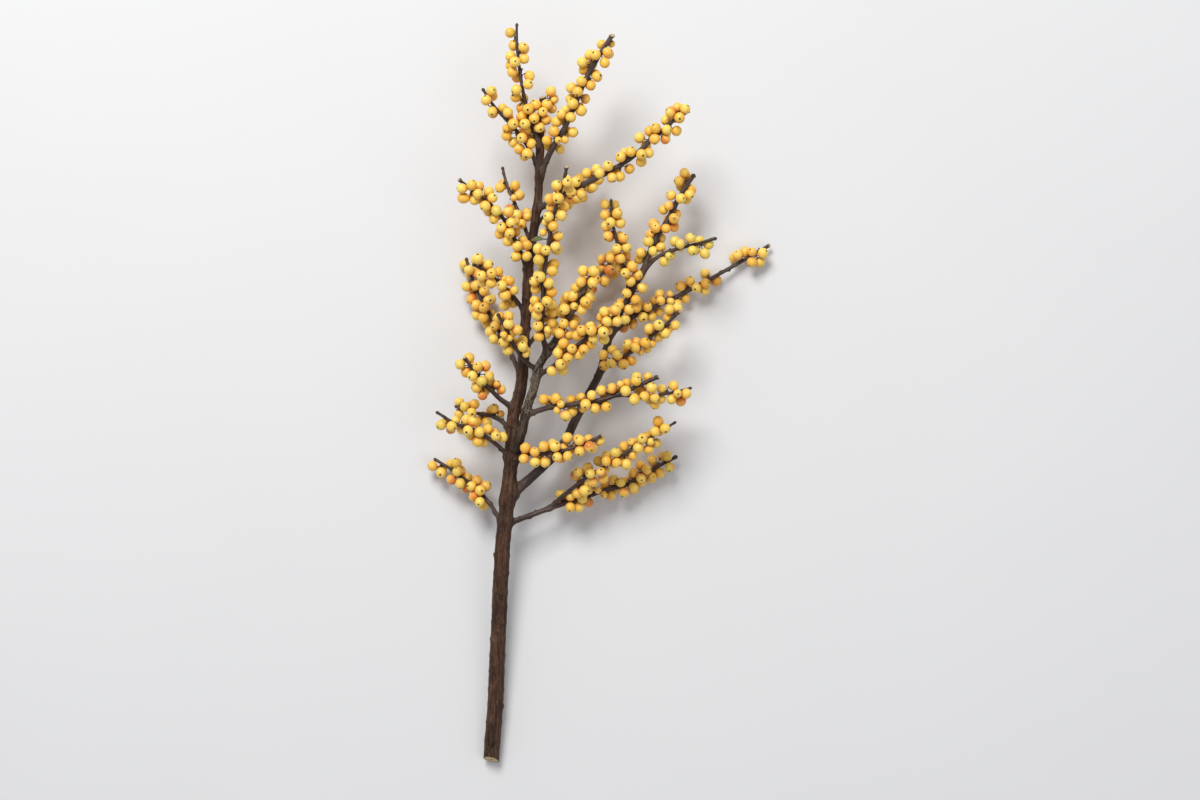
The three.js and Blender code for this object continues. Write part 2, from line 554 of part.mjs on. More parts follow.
// Sixteen faces on ten corners: two poles and two square rings, turned 45
// degrees to each other.
const BALL = [new THREE.Vector3(0, 0, 1), new THREE.Vector3(0, 0, -1)];
for (let k = 0; k < 4; k++)
  for (const [level, offset] of [[0.41, 0], [-0.41, Math.PI / 4]]) {
    const a = offset + (k * Math.PI) / 2, wide = Math.sqrt(1 - level * level);
    BALL.push(new THREE.Vector3(wide * Math.cos(a), wide * Math.sin(a), level));
  }
for (const run of runs) {
  const shoot = run[0].shoot;
  const net = new Net();
  for (const c of run) {
    // a low pyramid on the bark, whose three sides face the first three berries
    const knob = net.add(new ConvexGeometry([null, 0, 1, 2].map((k) => {
      if (k === null) return c.out.clone().multiplyScalar(SPUR_RADIUS);
      const way = c.first + Math.PI / 3 + (2 * Math.PI * k) / 3;
      return c.out.clone().multiplyScalar(-SPUR_RADIUS / 3)
        .addScaledVector(c.along, SPUR_RADIUS * 0.94 * Math.cos(way))
        .addScaledVector(c.around, SPUR_RADIUS * 0.94 * Math.sin(way));
    })), c.foot, SPUR_RADIUS);
    for (const b of c.members)
      b.ball = net.add(
        new ConvexGeometry(BALL.map((v) => v.clone().multiplyScalar(b.radius)))
          .applyQuaternion(new THREE.Quaternion().setFromEuler(new THREE.Euler(...b.spin))),
        b.at, b.radius);
    const held = [], loose = [];
    for (const b of c.members)
      (net.neck(knob, b.ball, 0, STALK_RADIUS, 0.3) ? held : loose).push(b);
    // a berry whose stalk is behind the others is joined where it presses on one
    for (const b of loose) {
      held.sort((p, q) => p.at.distanceTo(b.at) - q.at.distanceTo(b.at));
      if (!held.some((h) => net.neck(h.ball, b.ball, 0, 0, 0.3)))
        throw new Error("a berry of " + shoot.name + " is held by nothing");
      held.push(b);
    }
  }
  for (const [a, b] of links)
    if (run.includes(a.cluster) && !net.neck(a.ball, b.ball, 0, 0, 0.3))
      throw new Error("two clusters of " + shoot.name + " don't meet");
  // a stalk that grazes its shoot is pared back from the bark
  let geometry = net.geometry();
  const fruit = solid(geometry), own = wood.get(shoot.name);
  if (fruit.intersect(own.made).volume() > 0) {
    const [pared] = fruit.subtract(own.swollen).decompose().sort((p, q) => q.volume() - p.volume());
    geometry = geometryOf(pared);
  }
  const number = (taken.get(shoot.name) ?? 0) + 1;
  taken.set(shoot.name, number);
  const mesh = new THREE.Mesh(
    geometry,
    new THREE.MeshStandardMaterial({ color: BERRY_COLOUR, roughness: 0.45, metalness: 0 }),
  );
  mesh.name = "berries_" + shoot.name + (number > 1 ? "_" + number : "");
  for (const c of run) c.node = mesh.name;
  branch.add(mesh);
}

// The leaf: a flat ovate blade on a short stalk.
const half = [[0, 0.35], [0.2, 0.4], [0.32, 1.9], [0.55, LEAF_WIDTH / 2], [0.8, 2.1], [1, 0.25]];
const outline = new THREE.Shape();
half.forEach(([share, wide], i) => outline[i ? "lineTo" : "moveTo"](share * LEAF_LENGTH, wide));
[...half].reverse().forEach(([share, wide]) => outline.lineTo(share * LEAF_LENGTH, -wide));
outline.closePath();
const blade = new THREE.ExtrudeGeometry(outline, { depth: LEAF_THICKNESS, bevelEnabled: false });
blade.translate(0, 0, -LEAF_THICKNESS / 2);
blade.applyMatrix4(new THREE.Matrix4().makeBasis(
  leafWay, new THREE.Vector3().crossVectors(leafFace, leafWay), leafFace).setPosition(leafFoot));
const leaf = new THREE.Mesh(blade,
  new THREE.MeshStandardMaterial({ color: LEAF_COLOUR, roughness: 0.7, metalness: 0 }));
leaf.name = "leaf_remnant";
branch.add(leaf);

// ---- Set down on the surface ----
branch.rotation.set(...REST_TURN);
branch.updateMatrixWorld(true);
const box = new THREE.Box3().setFromObject(branch, true);
branch.position.set(-(box.min.x + box.max.x) / 2, -(box.min.y + box.max.y) / 2, -box.min.z);
branch.updateMatrixWorld(true);

const part = new THREE.Group();
part.add(branch);
part.userData = { shoots: SHOOTS, clusters, berries, links, runs, leaf: { foot: leafFoot, way: leafWay, face: leafFace } };

export default part;
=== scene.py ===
# The looks of a cut winterberry branch that lies on a pale surface: its bark,
# its berries with their stalks, and one withered leaf. Lengths in the tables
# and in the modelling code are millimetres; the meshes are made in metres.

import json
import math

import bpy
import numpy as np
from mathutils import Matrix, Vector

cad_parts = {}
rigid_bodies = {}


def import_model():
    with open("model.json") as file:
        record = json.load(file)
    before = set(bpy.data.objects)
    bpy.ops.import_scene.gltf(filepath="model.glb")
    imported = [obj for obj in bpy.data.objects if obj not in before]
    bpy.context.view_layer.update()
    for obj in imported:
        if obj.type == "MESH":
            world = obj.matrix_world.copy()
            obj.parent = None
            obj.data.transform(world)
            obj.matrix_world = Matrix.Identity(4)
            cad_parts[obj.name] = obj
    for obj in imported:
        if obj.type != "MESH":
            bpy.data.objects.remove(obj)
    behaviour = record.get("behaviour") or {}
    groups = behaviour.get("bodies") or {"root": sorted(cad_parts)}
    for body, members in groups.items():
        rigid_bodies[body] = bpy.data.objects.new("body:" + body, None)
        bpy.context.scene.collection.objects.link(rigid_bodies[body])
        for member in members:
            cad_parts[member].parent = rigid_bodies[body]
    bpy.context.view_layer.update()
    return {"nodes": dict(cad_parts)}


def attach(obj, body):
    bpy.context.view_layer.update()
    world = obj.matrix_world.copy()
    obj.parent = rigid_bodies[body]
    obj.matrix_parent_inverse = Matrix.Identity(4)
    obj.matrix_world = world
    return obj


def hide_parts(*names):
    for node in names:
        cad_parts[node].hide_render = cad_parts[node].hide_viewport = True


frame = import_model()
MM = 0.001

# ---------------------------------------------------------------- the tables

# Each shoot: name, parent, then x, y, z and radius of points along its centre line (0.01 mm).
SHOOTS = [
  ("main_stem", None, [
    -10610, -35521, 847, 760, -10564, -34926, 893, 759, -10517, -34331, 937, 757, -10470, -33736, 980, 756,
    -10422, -33142, 1022, 755, -10375, -32547, 1065, 754, -10328, -31952, 1110, 752, -10283, -31358, 1157,
    751, -10239, -30763, 1208, 750, -10198, -30169, 1262, 748, -10160, -29587, 1320, 747, -10123, -28982,
    1386, 746, -10089, -28389, 1454, 744, -10056, -27796, 1525, 743, -10026, -27202, 1600, 742, -9996,
    -26610, 1676, 740, -9968, -26017, 1754, 739, -9940, -25425, 1834, 738, -9912, -24833, 1915, 737, -9885,
    -24241, 1997, 735, -9857, -23648, 2079, 734, -9829, -23057, 2161, 733, -9800, -22465, 2243, 731, -9770,
    -21874, 2324, 730, -9741, -21282, 2406, 729, -9714, -20690, 2489, 727, -9687, -20098, 2572, 726, -9660,
    -19506, 2656, 725, -9634, -18914, 2740, 724, -9607, -18323, 2825, 722, -9580, -17731, 2910, 721, -9550,
    -17140, 2996, 720, -9519, -16548, 3082, 718, -9486, -15957, 3169, 717, -9449, -15367, 3256, 716, -9408,
    -14776, 3343, 714, -9362, -14186, 3431, 713, -9310, -13597, 3520, 712, -9253, -13009, 3610, 710, -9191,
    -12420, 3701, 709, -9127, -11833, 3793, 708, -9061, -11245, 3884, 707, -8995, -10658, 3975, 705, -8930,
    -10070, 4065, 704, -8869, -9482, 4154, 703, -8810, -8892, 4242, 701, -8750, -8304, 4330, 700, -8690,
    -7716, 4417, 688, -8632, -7126, 4504, 676, -8576, -6537, 4588, 663, -8524, -5947, 4671, 651, -8476,
    -5356, 4752, 638, -8442, -4764, 4830, 626, -8421, -4171, 4908, 613, -8406, -3578, 4985, 600, -8388,
    -2984, 5059, 589, -8359, -2391, 5130, 584, -8308, -1798, 5196, 578, -8220, -1210, 5256, 573, -8076,
    -632, 5305, 567, -7894, -64, 5344, 562, -7712, 504, 5382, 556, -7574, 1078, 5426, 551, -7481, 1673,
    5478, 545, -7413, 2265, 5532, 540, -7361, 2859, 5588, 534, -7319, 3453, 5644, 529, -7281, 4048, 5699,
    523, -7247, 4642, 5752, 518, -7229, 5238, 5804, 512, -7215, 5833, 5856, 507, -7191, 6428, 5904, 502,
    -7148, 7024, 5950, 496, -7094, 7618, 5993, 491, -7037, 8212, 6035, 485, -6986, 8807, 6078, 480, -6951,
    9402, 6124, 474, -6936, 9998, 6177, 469, -6927, 10593, 6230, 464, -6905, 11189, 6275, 459, -6861, 11784,
    6307, 454, -6800, 12379, 6326, 449, -6729, 12974, 6338, 444, -6652, 13567, 6346, 440, -6572, 14160,
    6356, 435, -6491, 14753, 6370, 430, -6412, 15345, 6390, 425, -6325, 15936, 6418, 420, -6233, 16526,
    6449, 415, -6141, 17117, 6482, 411, -6054, 17707, 6515, 406, -5975, 18300, 6544, 401, -5910, 18889,
    6568, 396, -5858, 19489, 6587, 391, -5816, 20086, 6603, 386, -5782, 20683, 6617, 381, -5753, 21281,
    6629, 376, -5728, 21879, 6639, 372, -5705, 22476, 6647, 367, -5683, 23074, 6653, 362, -5665, 23672,
    6657, 357, -5655, 24270, 6657, 352, -5648, 24868, 6654, 347, -5641, 25466, 6650, 342, -5626, 26064,
    6646, 338, -5599, 26662, 6644, 333, -5560, 27259, 6642, 328, -5514, 27855, 6640, 323, -5463, 28451,
    6638, 318, -5412, 29047, 6636, 313, -5381, 29445, 6635, 310,
  ]),
  ("grey_fork", "main_stem", [
    -8476, -5356, 4752, 490, -8209, -4863, 4955, 484, -7944, -4370, 5158, 478, -7719, -3851, 5343, 472,
    -7547, -3305, 5506, 467, -7404, -2745, 5654, 461, -7276, -2181, 5797, 455, -7150, -1616, 5938, 449,
    -7018, -1053, 6085, 443, -6867, -500, 6243, 438, -6685, 40, 6418, 432, -6487, 570, 6603, 426, -6302,
    1104, 6792, 420, -6157, 1651, 6978, 414, -6038, 2204, 7165, 408, -5906, 2754, 7353, 399, -5715, 3286,
    7538, 390, -5441, 3785, 7714, 382, -5125, 4259, 7887, 373, -4808, 4730, 8068, 364, -4478, 5187, 8259,
    355, -4157, 5652, 8449, 346, -3875, 6145, 8628, 338, -3619, 6655, 8800, 329, -3353, 7160, 8970, 320,
    -3061, 7651, 9141, 312, -2757, 8134, 9311, 303, -2455, 8620, 9475, 294, -2165, 9118, 9627, 285, -1892,
    9628, 9769, 277, -1624, 10143, 9905, 268, -1346, 10654, 10036, 259, -1039, 11147, 10164, 250, -683,
    11610, 10285, 242, -180, 12204, 10438, 230,
  ]),
  ("right_fork", "main_stem", [
    -8869, -9482, 4154, 480, -8438, -9079, 4055, 476, -8007, -8676, 3955, 472, -7572, -8274, 3864, 467,
    -7129, -7880, 3780, 463, -6679, -7493, 3702, 459, -6230, -7104, 3629, 455, -5789, -6705, 3566, 450,
    -5362, -6289, 3516, 446, -4939, -5866, 3476, 442, -4523, -5437, 3446, 438, -4119, -4996, 3424, 434,
    -3737, -4535, 3411, 429, -3391, -4047, 3407, 425, -3100, -3524, 3417, 421, -2852, -2980, 3440, 417,
    -2615, -2432, 3469, 413, -2356, -1894, 3498, 408, -2080, -1362, 3529, 404, -1800, -834, 3564, 400,
    -1518, -307, 3599, 396, -1238, 221, 3634, 392, -963, 752, 3666, 385, -691, 1284, 3692, 378, -415, 1815,
    3710, 371, -154, 2353, 3730, 364, 72, 2906, 3761, 356, 240, 3479, 3805, 349, 369, 4061, 3858, 342, 500,
    4642, 3915, 335, 668, 5213, 3972, 328, 856, 5779, 4031, 320, 1056, 6340, 4091, 313, 1269, 6896, 4153,
    306, 1498, 7446, 4216, 299, 1747, 7986, 4281, 292, 2020, 8514, 4349, 284, 2306, 9035, 4418, 278, 2598,
    9554, 4483, 275, 2887, 10075, 4541, 271, 3187, 10590, 4593, 267, 3489, 11104, 4640, 263, 3775, 11629,
    4684, 259, 4029, 12169, 4726, 256, 4247, 12725, 4766, 252, 4450, 13287, 4804, 248, 4654, 13849, 4840,
    244, 4874, 14405, 4871, 240, 5127, 14946, 4898, 236, 5409, 15474, 4920, 233, 5710, 15991, 4938, 229,
    6018, 16504, 4953, 225, 6324, 17018, 4964, 221, 6619, 17539, 4971, 217, 6903, 18066, 4974, 213, 7183,
    18595, 4974, 209, 7466, 19122, 4969, 201, 7760, 19644, 4958, 193, 8071, 20154, 4938, 185, 8401, 20653,
    4908, 176, 8739, 21146, 4872, 168, 9075, 21640, 4837, 160,
  ]),
  ("left_front", "grey_fork", [
    -5906, 2754, 7353, 210, -6301, 3064, 7663, 204, -6700, 3368, 7974, 197, -7081, 3701, 8278, 190, -7416,
    4093, 8565, 184, -7706, 4532, 8834, 178, -7970, 4994, 9089, 171, -8228, 5468, 9329, 165, -8475, 5953,
    9558, 158, -8714, 6454, 9758, 152, -8979, 6961, 9905, 145, -9258, 7472, 10004, 139, -9633, 8154, 10126,
    130,
  ]),
  ("crown_front", "grey_fork", [
    -5018, 4416, 7946, 260, -5137, 4903, 8267, 249, -5264, 5386, 8592, 239, -5374, 5877, 8910, 228, -5443,
    6384, 9214, 217, -5454, 6905, 9504, 209, -5426, 7432, 9780, 206, -5384, 7966, 10040, 203, -5352, 8508,
    10283, 200, -5337, 9061, 10505, 197, -5327, 9620, 10710, 194, -5315, 10185, 10902, 191, -5294, 10752,
    11082, 188, -5255, 11322, 11250, 185, -5198, 11896, 11398, 182, -5127, 12472, 11532, 179, -5048, 13049,
    11661, 176, -4961, 13623, 11792, 173, -4864, 14197, 11917, 170, -4761, 14771, 12039, 167, -4659, 15346,
    12158, 164, -4557, 15922, 12272, 161, -4444, 16496, 12386, 158, -4312, 17064, 12503, 155, -4157, 17625,
    12632, 152, -3991, 18183, 12756, 149, -3825, 18748, 12853, 146, -3664, 19318, 12903, 143, -3503, 19892,
    12924, 140, -3348, 20466, 12952, 137, -3201, 21042, 12988, 134, -3008, 21811, 13036, 130,
  ]),
  ("right_front", "grey_fork", [
    -6038, 2204, 7165, 210, -5605, 2455, 7492, 205, -5170, 2701, 7822, 200, -4740, 2962, 8145, 196, -4320,
    3258, 8451, 191, -3922, 3599, 8739, 186, -3537, 3965, 9013, 181, -3147, 4335, 9275, 176, -2736, 4688,
    9527, 171, -2302, 5020, 9772, 167, -1857, 5344, 10005, 162, -1403, 5668, 10221, 157, -947, 6003, 10415,
    152, -484, 6342, 10584, 147, -17, 6684, 10733, 142, 448, 7036, 10868, 138, 903, 7404, 10989, 133, 1346,
    7794, 11086, 128, 1784, 8192, 11170, 123, 2077, 8457, 11229, 120,
  ]),
  ("right_long", "grey_fork", [
    -7107, -1428, 5986, 250, -6583, -1256, 6202, 247, -6062, -1078, 6422, 244, -5538, -906, 6637, 241,
    -5000, -756, 6836, 238, -4446, -642, 7010, 235, -3879, -565, 7164, 231, -3306, -507, 7302, 228, -2729,
    -448, 7422, 225, -2150, -372, 7526, 222, -1569, -297, 7606, 219, -985, -216, 7670, 216, -404, -117,
    7726, 213, 171, 14, 7782, 210, 737, 180, 7835, 206, 1296, 371, 7883, 203, 1849, 579, 7924, 200, 2398,
    800, 7959, 194, 2937, 1045, 7984, 186, 3470, 1302, 8002, 179, 4006, 1554, 8023, 172, 4550, 1785, 8051,
    164, 5101, 2002, 8083, 157, 5651, 2218, 8116, 150,
  ]),
  ("right_long_spur", "right_long", [
    1665, 508, 7911, 160, 2252, 457, 7865, 155, 2839, 405, 7818, 150, 3423, 377, 7734, 146, 3998, 376, 7596,
    141, 4563, 395, 7426, 136, 5124, 439, 7246, 132, 5682, 510, 7064, 127, 6234, 604, 6875, 122, 6783, 710,
    6682, 117, 7331, 823, 6491, 113, 7877, 948, 6304, 108, 8421, 1084, 6117, 103, 8784, 1173, 5992, 100,
  ]),
  ("left_mid", "main_stem", [
    -8130, -823, 5290, 260, -8563, -544, 5593, 246, -8998, -267, 5897, 232, -9423, 39, 6186, 219, -9828,
    392, 6448, 205, -10216, 777, 6692, 191, -10595, 1184, 6914, 181, -10972, 1605, 7108, 172, -11346, 2044,
    7268, 163, -11712, 2497, 7405, 154, -12069, 2960, 7534, 145, -12410, 3435, 7663, 135, -12734, 3923,
    7783, 126, -12951, 4248, 7863, 120,
  ]),
  ("left_mid_low", "main_stem", [
    -8395, -3182, 5034, 220, -8749, -2737, 4856, 211, -9112, -2300, 4676, 202, -9546, -1948, 4473, 194,
    -10040, -1701, 4250, 185, -10562, -1516, 4028, 176, -11101, -1376, 3816, 167, -11656, -1296, 3612, 158,
    -12215, -1206, 3425, 149, -12768, -1047, 3269, 141, -13315, -845, 3144, 132, -14042, -565, 2984, 120,
  ]),
  ("left_high", "main_stem", [
    -6821, 12182, 6320, 220, -7023, 12696, 6549, 214, -7222, 13211, 6780, 209, -7425, 13724, 7008, 203,
    -7642, 14234, 7232, 198, -7871, 14741, 7450, 192, -8101, 15249, 7666, 186, -8340, 15754, 7878, 181,
    -8594, 16253, 8087, 175, -8876, 16740, 8290, 170, -9196, 17206, 8484, 164, -9554, 17648, 8667, 158,
    -9941, 18069, 8841, 153, -10350, 18472, 9006, 147, -10778, 18859, 9161, 142, -11237, 19214, 9304, 136,
    -11714, 19550, 9433, 130, -12188, 19894, 9552, 125, -12662, 20242, 9658, 119, -13138, 20591, 9757, 114,
    -13455, 20823, 9824, 110,
  ]),
  ("left_crown", "main_stem", [
    -6491, 14753, 6370, 190, -6707, 15266, 6176, 184, -6924, 15779, 5980, 179, -7139, 16296, 5791, 173,
    -7351, 16818, 5618, 168, -7558, 17349, 5462, 162, -7763, 17882, 5314, 156, -7972, 18414, 5169, 151,
    -8193, 18940, 5018, 145, -8434, 19455, 4858, 140, -8672, 19972, 4704, 134, -8881, 20508, 4572, 129,
    -9048, 21065, 4473, 123, -9192, 21632, 4392, 117, -9380, 22389, 4286, 110,
  ]),
  ("low_right_short", "main_stem", [
    -8558, -6340, 4616, 210, -8182, -5965, 4888, 205, -7807, -5588, 5161, 199, -7367, -5295, 5433, 194,
    -6847, -5173, 5696, 189, -6302, -5155, 5939, 184, -5745, -5144, 6156, 178, -5181, -5083, 6341, 173,
    -4608, -5011, 6492, 168, -4031, -4920, 6620, 162, -3458, -4795, 6732, 157, -2891, -4633, 6825, 152,
    -2329, -4445, 6900, 146, -1773, -4238, 6966, 141, -1222, -4015, 7028, 136, -681, -3768, 7079, 131, -144,
    -3510, 7125, 125, 393, -3254, 7173, 120,
  ]),
  ("low_right_long", "main_stem", [
    -9149, -12028, 3762, 270, -8598, -11815, 3686, 265, -8048, -11600, 3612, 259, -7498, -11386, 3538, 254,
    -6947, -11175, 3459, 248, -6394, -10970, 3373, 243, -5841, -10773, 3278, 237, -5287, -10580, 3177, 232,
    -4732, -10391, 3072, 226, -4178, -10204, 2963, 221, -3622, -10021, 2853, 217, -3066, -9841, 2742, 213,
    -2508, -9665, 2631, 210, -1946, -9501, 2520, 206, -1381, -9352, 2408, 202, -821, -9188, 2293, 199, -275,
    -8983, 2175, 195, 268, -8770, 2054, 191, 826, -8607, 1930, 188, 1398, -8506, 1799, 184, 1966, -8378,
    1679, 180, 2516, -8172, 1585, 177, 3050, -7922, 1505, 174, 3570, -7644, 1424, 171, 4069, -7332, 1338,
    168, 4568, -7015, 1263, 165, 5081, -6719, 1207, 163, 5602, -6434, 1165, 160, 6127, -6155, 1136, 157,
    6656, -5883, 1121, 154, 7189, -5617, 1121, 152, 7544, -5440, 1120, 150,
  ]),
  ("low_right_high", "low_right_long", [
    -4917, -10454, 3107, 190, -4493, -10067, 3274, 186, -4071, -9678, 3442, 183, -3645, -9292, 3609, 179,
    -3210, -8916, 3771, 176, -2762, -8552, 3928, 172, -2307, -8196, 4083, 169, -1847, -7846, 4235, 165,
    -1380, -7503, 4383, 162, -906, -7167, 4526, 158, -423, -6842, 4662, 154, 73, -6534, 4791, 151, 576,
    -6235, 4913, 147, 1079, -5933, 5028, 144, 1575, -5617, 5137, 140, 2067, -5293, 5238, 137, 2558, -4966,
    5334, 133, 3053, -4641, 5423, 130, 3553, -4324, 5506, 126, 4057, -4013, 5585, 123, 4564, -3703, 5657,
    119, 5072, -3394, 5721, 115, 5581, -3085, 5775, 112, 6091, -2776, 5820, 108, 6602, -2468, 5859, 105,
    7283, -2057, 5913, 100,
  ]),
  ("far_right", "right_fork", [
    1056, 6340, 4091, 240, 1485, 6715, 3923, 236, 1908, 7096, 3755, 233, 2344, 7463, 3585, 229, 2805, 7794,
    3409, 226, 3294, 8077, 3225, 222, 3798, 8328, 3037, 218, 4311, 8563, 2849, 215, 4825, 8798, 2666, 211,
    5337, 9041, 2488, 207, 5852, 9277, 2309, 204, 6370, 9512, 2137, 200, 6889, 9755, 1980, 196, 7407, 10011,
    1843, 193, 7925, 10278, 1724, 190, 8441, 10552, 1618, 187, 8958, 10829, 1520, 183, 9474, 11109, 1430,
    180, 9990, 11390, 1346, 177, 10508, 11672, 1266, 174, 11026, 11953, 1191, 170, 11544, 12235, 1124, 167,
    12063, 12518, 1063, 164, 12582, 12803, 1010, 161, 13100, 13091, 962, 158, 13616, 13382, 921, 154, 14131,
    13676, 887, 149, 14644, 13975, 862, 144, 15156, 14275, 843, 140, 15668, 14577, 827, 135, 16180, 14879,
    810, 130, 16692, 15179, 791, 125,
  ]),
  ("right_side", "right_fork", [
    2, 2720, 3749, 200, 443, 3053, 3981, 195, 881, 3389, 4215, 189, 1332, 3714, 4439, 184, 1814, 4008, 4639,
    179, 2330, 4260, 4812, 174, 2851, 4508, 4975, 168, 3348, 4798, 5143, 163, 3806, 5140, 5322, 158, 4242,
    5510, 5502, 152, 4673, 5888, 5676, 147, 5115, 6259, 5839, 142, 5570, 6620, 5988, 136, 6029, 6981, 6126,
    131, 6480, 7353, 6255, 126, 6912, 7752, 6374, 121, 7326, 8172, 6479, 115, 7739, 8594, 6582, 110,
  ]),
  ("crown_right", "main_stem", [
    -5762, 21082, 6625, 280, -5548, 21590, 6848, 276, -5337, 22098, 7074, 272, -5117, 22607, 7293, 269,
    -4876, 23113, 7492, 265, -4609, 23617, 7662, 261, -4325, 24116, 7818, 257, -4032, 24610, 7974, 253,
    -3720, 25090, 8137, 250, -3415, 25576, 8292, 246, -3148, 26088, 8437, 242, -2903, 26613, 8574, 238,
    -2667, 27144, 8703, 234, -2431, 27677, 8821, 231, -2199, 28215, 8927, 227, -1973, 28757, 9024, 224,
    -1741, 29298, 9111, 220, -1493, 29833, 9192, 217, -1225, 30360, 9265, 213, -945, 30881, 9331, 210, -655,
    31397, 9390, 207, -355, 31908, 9445, 203, -47, 32415, 9496, 200, 273, 32914, 9540, 196, 604, 33407,
    9580, 193, 940, 33897, 9616, 190, 1385, 34553, 9666, 185,
  ]),
  ("back_right", "main_stem", [
    -7240, 4841, 5769, 210, -6880, 5249, 5524, 206, -6524, 5658, 5277, 201, -6165, 6066, 5032, 197, -5793,
    6468, 4795, 193, -5405, 6861, 4570, 188, -5003, 7245, 4354, 184, -4593, 7624, 4144, 180, -4176, 7999,
    3941, 175, -3756, 8373, 3744, 171, -3331, 8745, 3552, 166, -2896, 9108, 3364, 162, -2458, 9470, 3184,
    158, -2022, 9840, 3013, 154, -1598, 10229, 2856, 149, -1187, 10636, 2713, 145, -784, 11056, 2582, 140,
    -391, 11489, 2466, 136, -11, 11938, 2366, 132, 355, 12402, 2288, 127, 701, 12884, 2233, 123, 1036,
    13377, 2193, 119, 1367, 13872, 2157, 114, 1702, 14363, 2116, 110,
  ]),
  ("back_left", "main_stem", [
    -7433, 2067, 5514, 220, -7656, 2545, 5233, 216, -7876, 3024, 4951, 211, -8097, 3502, 4670, 207, -8322,
    3980, 4390, 203, -8555, 4455, 4114, 199, -8798, 4927, 3840, 194, -9049, 5393, 3563, 190, -9305, 5858,
    3288, 186, -9567, 6324, 3022, 181, -9833, 6796, 2771, 177, -10103, 7277, 2542, 173, -10382, 7762, 2332,
    169, -10666, 8250, 2138, 164, -10951, 8744, 1960, 160, -11229, 9248, 1802, 156, -11497, 9764, 1664, 151,
    -11762, 10287, 1550, 147, -12018, 10819, 1458, 143, -12258, 11360, 1382, 139, -12471, 11915, 1320, 134,
    -12647, 12484, 1283, 130, -12801, 13061, 1264, 126, -13005, 13831, 1238, 120,
  ]),
  ("left_upper", "main_stem", [
    -7055, 8014, 6021, 200, -7322, 8459, 6291, 193, -7585, 8906, 6562, 186, -7862, 9346, 6828, 179, -8176,
    9769, 7083, 172, -8522, 10173, 7326, 165, -8893, 10561, 7557, 158, -9284, 10936, 7779, 152, -9693,
    11296, 7991, 145, -10122, 11640, 8190, 138, -10571, 11965, 8376, 131, -11045, 12263, 8543, 124, -11543,
    12533, 8689, 117, -12043, 12800, 8833, 110,
  ]),
  ("back_crown", "main_stem", [
    -6233, 16526, 6449, 190, -5859, 16914, 6198, 185, -5487, 17304, 5946, 179, -5103, 17683, 5699, 174,
    -4690, 18039, 5461, 169, -4249, 18362, 5228, 163, -3795, 18674, 5004, 158, -3343, 18999, 4796, 153,
    -2900, 19346, 4606, 147, -2455, 19700, 4431, 142, -2020, 20072, 4273, 137, -1608, 20478, 4136, 131,
    -1235, 20928, 4030, 126, -894, 21409, 3951, 121, -567, 21901, 3884, 115, -234, 22387, 3811, 110,
  ]),
  ("crown_left", "main_stem", [
    -5665, 23672, 6657, 210, -5849, 24220, 6803, 205, -6035, 24767, 6953, 199, -6219, 25316, 7097, 194,
    -6397, 25871, 7227, 189, -6569, 26431, 7336, 183, -6740, 26995, 7430, 178, -6905, 27563, 7513, 173,
    -7058, 28135, 7590, 167, -7193, 28711, 7664, 162, -7309, 29292, 7734, 157, -7411, 29876, 7797, 152,
    -7501, 30463, 7857, 146, -7584, 31051, 7915, 141, -7661, 31640, 7972, 136, -7731, 32230, 8028, 130,
    -7790, 32822, 8081, 125, -7835, 33415, 8128, 120, -7860, 34010, 8167, 114, -7860, 34605, 8196, 109,
    -7851, 35202, 8221, 103, -7847, 35599, 8240, 100,
  ]),
  ("low_left", "main_stem", [
    -9191, -12420, 3701, 210, -9478, -11904, 3597, 204, -9754, -11382, 3498, 198, -10038, -10863, 3395, 192,
    -10344, -10361, 3279, 186, -10688, -9890, 3140, 181, -11066, -9456, 2975, 175, -11468, -9049, 2795, 169,
    -11886, -8663, 2608, 163, -12315, -8287, 2424, 157, -12753, -7919, 2243, 151, -13204, -7571, 2056, 145,
    -13668, -7236, 1876, 139, -14144, -6908, 1719, 134, -14634, -6587, 1594, 128, -15138, -6278, 1495, 122,
    -15648, -5975, 1407, 116, -16155, -5669, 1315, 110,
  ]),
  ("high_right", "main_stem", [
    -6000, 18102, 6535, 260, -5536, 18346, 6816, 256, -5076, 18589, 7101, 253, -4607, 18835, 7372, 249,
    -4124, 19083, 7614, 246, -3633, 19334, 7836, 242, -3136, 19586, 8042, 238, -2633, 19838, 8233, 235,
    -2123, 20091, 8405, 231, -1605, 20343, 8552, 228, -1076, 20586, 8667, 224, -539, 20826, 8754, 220, -1,
    21069, 8823, 217, 531, 21328, 8885, 213, 1052, 21606, 8946, 209, 1568, 21896, 8996, 206, 2076, 22202,
    9037, 202, 2571, 22530, 9071, 199, 3048, 22883, 9099, 195, 3505, 23262, 9120, 191, 3949, 23657, 9136,
    187, 4387, 24059, 9147, 182, 4825, 24460, 9156, 178, 5271, 24853, 9161, 174, 5718, 25245, 9164, 170,
    6165, 25637, 9164, 166, 6617, 26023, 9158, 162, 7082, 26393, 9144, 158, 7569, 26732, 9115, 153, 8073,
    27043, 9071, 149, 8579, 27351, 9026, 145,
  ]),
  ("crown_left_low", "main_stem", [
    -5736, 21679, 6636, 200, -5970, 22214, 6738, 194, -6196, 22752, 6840, 189, -6434, 23284, 6942, 184,
    -6703, 23803, 7043, 178, -7012, 24298, 7142, 172, -7350, 24774, 7241, 167, -7709, 25236, 7337, 161,
    -8080, 25689, 7428, 156, -8462, 26133, 7513, 150, -8869, 26555, 7595, 145, -9286, 26970, 7672, 139,
    -9693, 27394, 7739, 134, -10069, 27849, 7793, 128, -10408, 28333, 7828, 123, -10726, 28832, 7851, 117,
    -11151, 29498, 7882, 110,
  ]),
  ("left_low_front", "main_stem", [
    -8508, -5750, 4698, 210, -8810, -5386, 5051, 204, -9102, -5021, 5411, 197, -9414, -4658, 5757, 191,
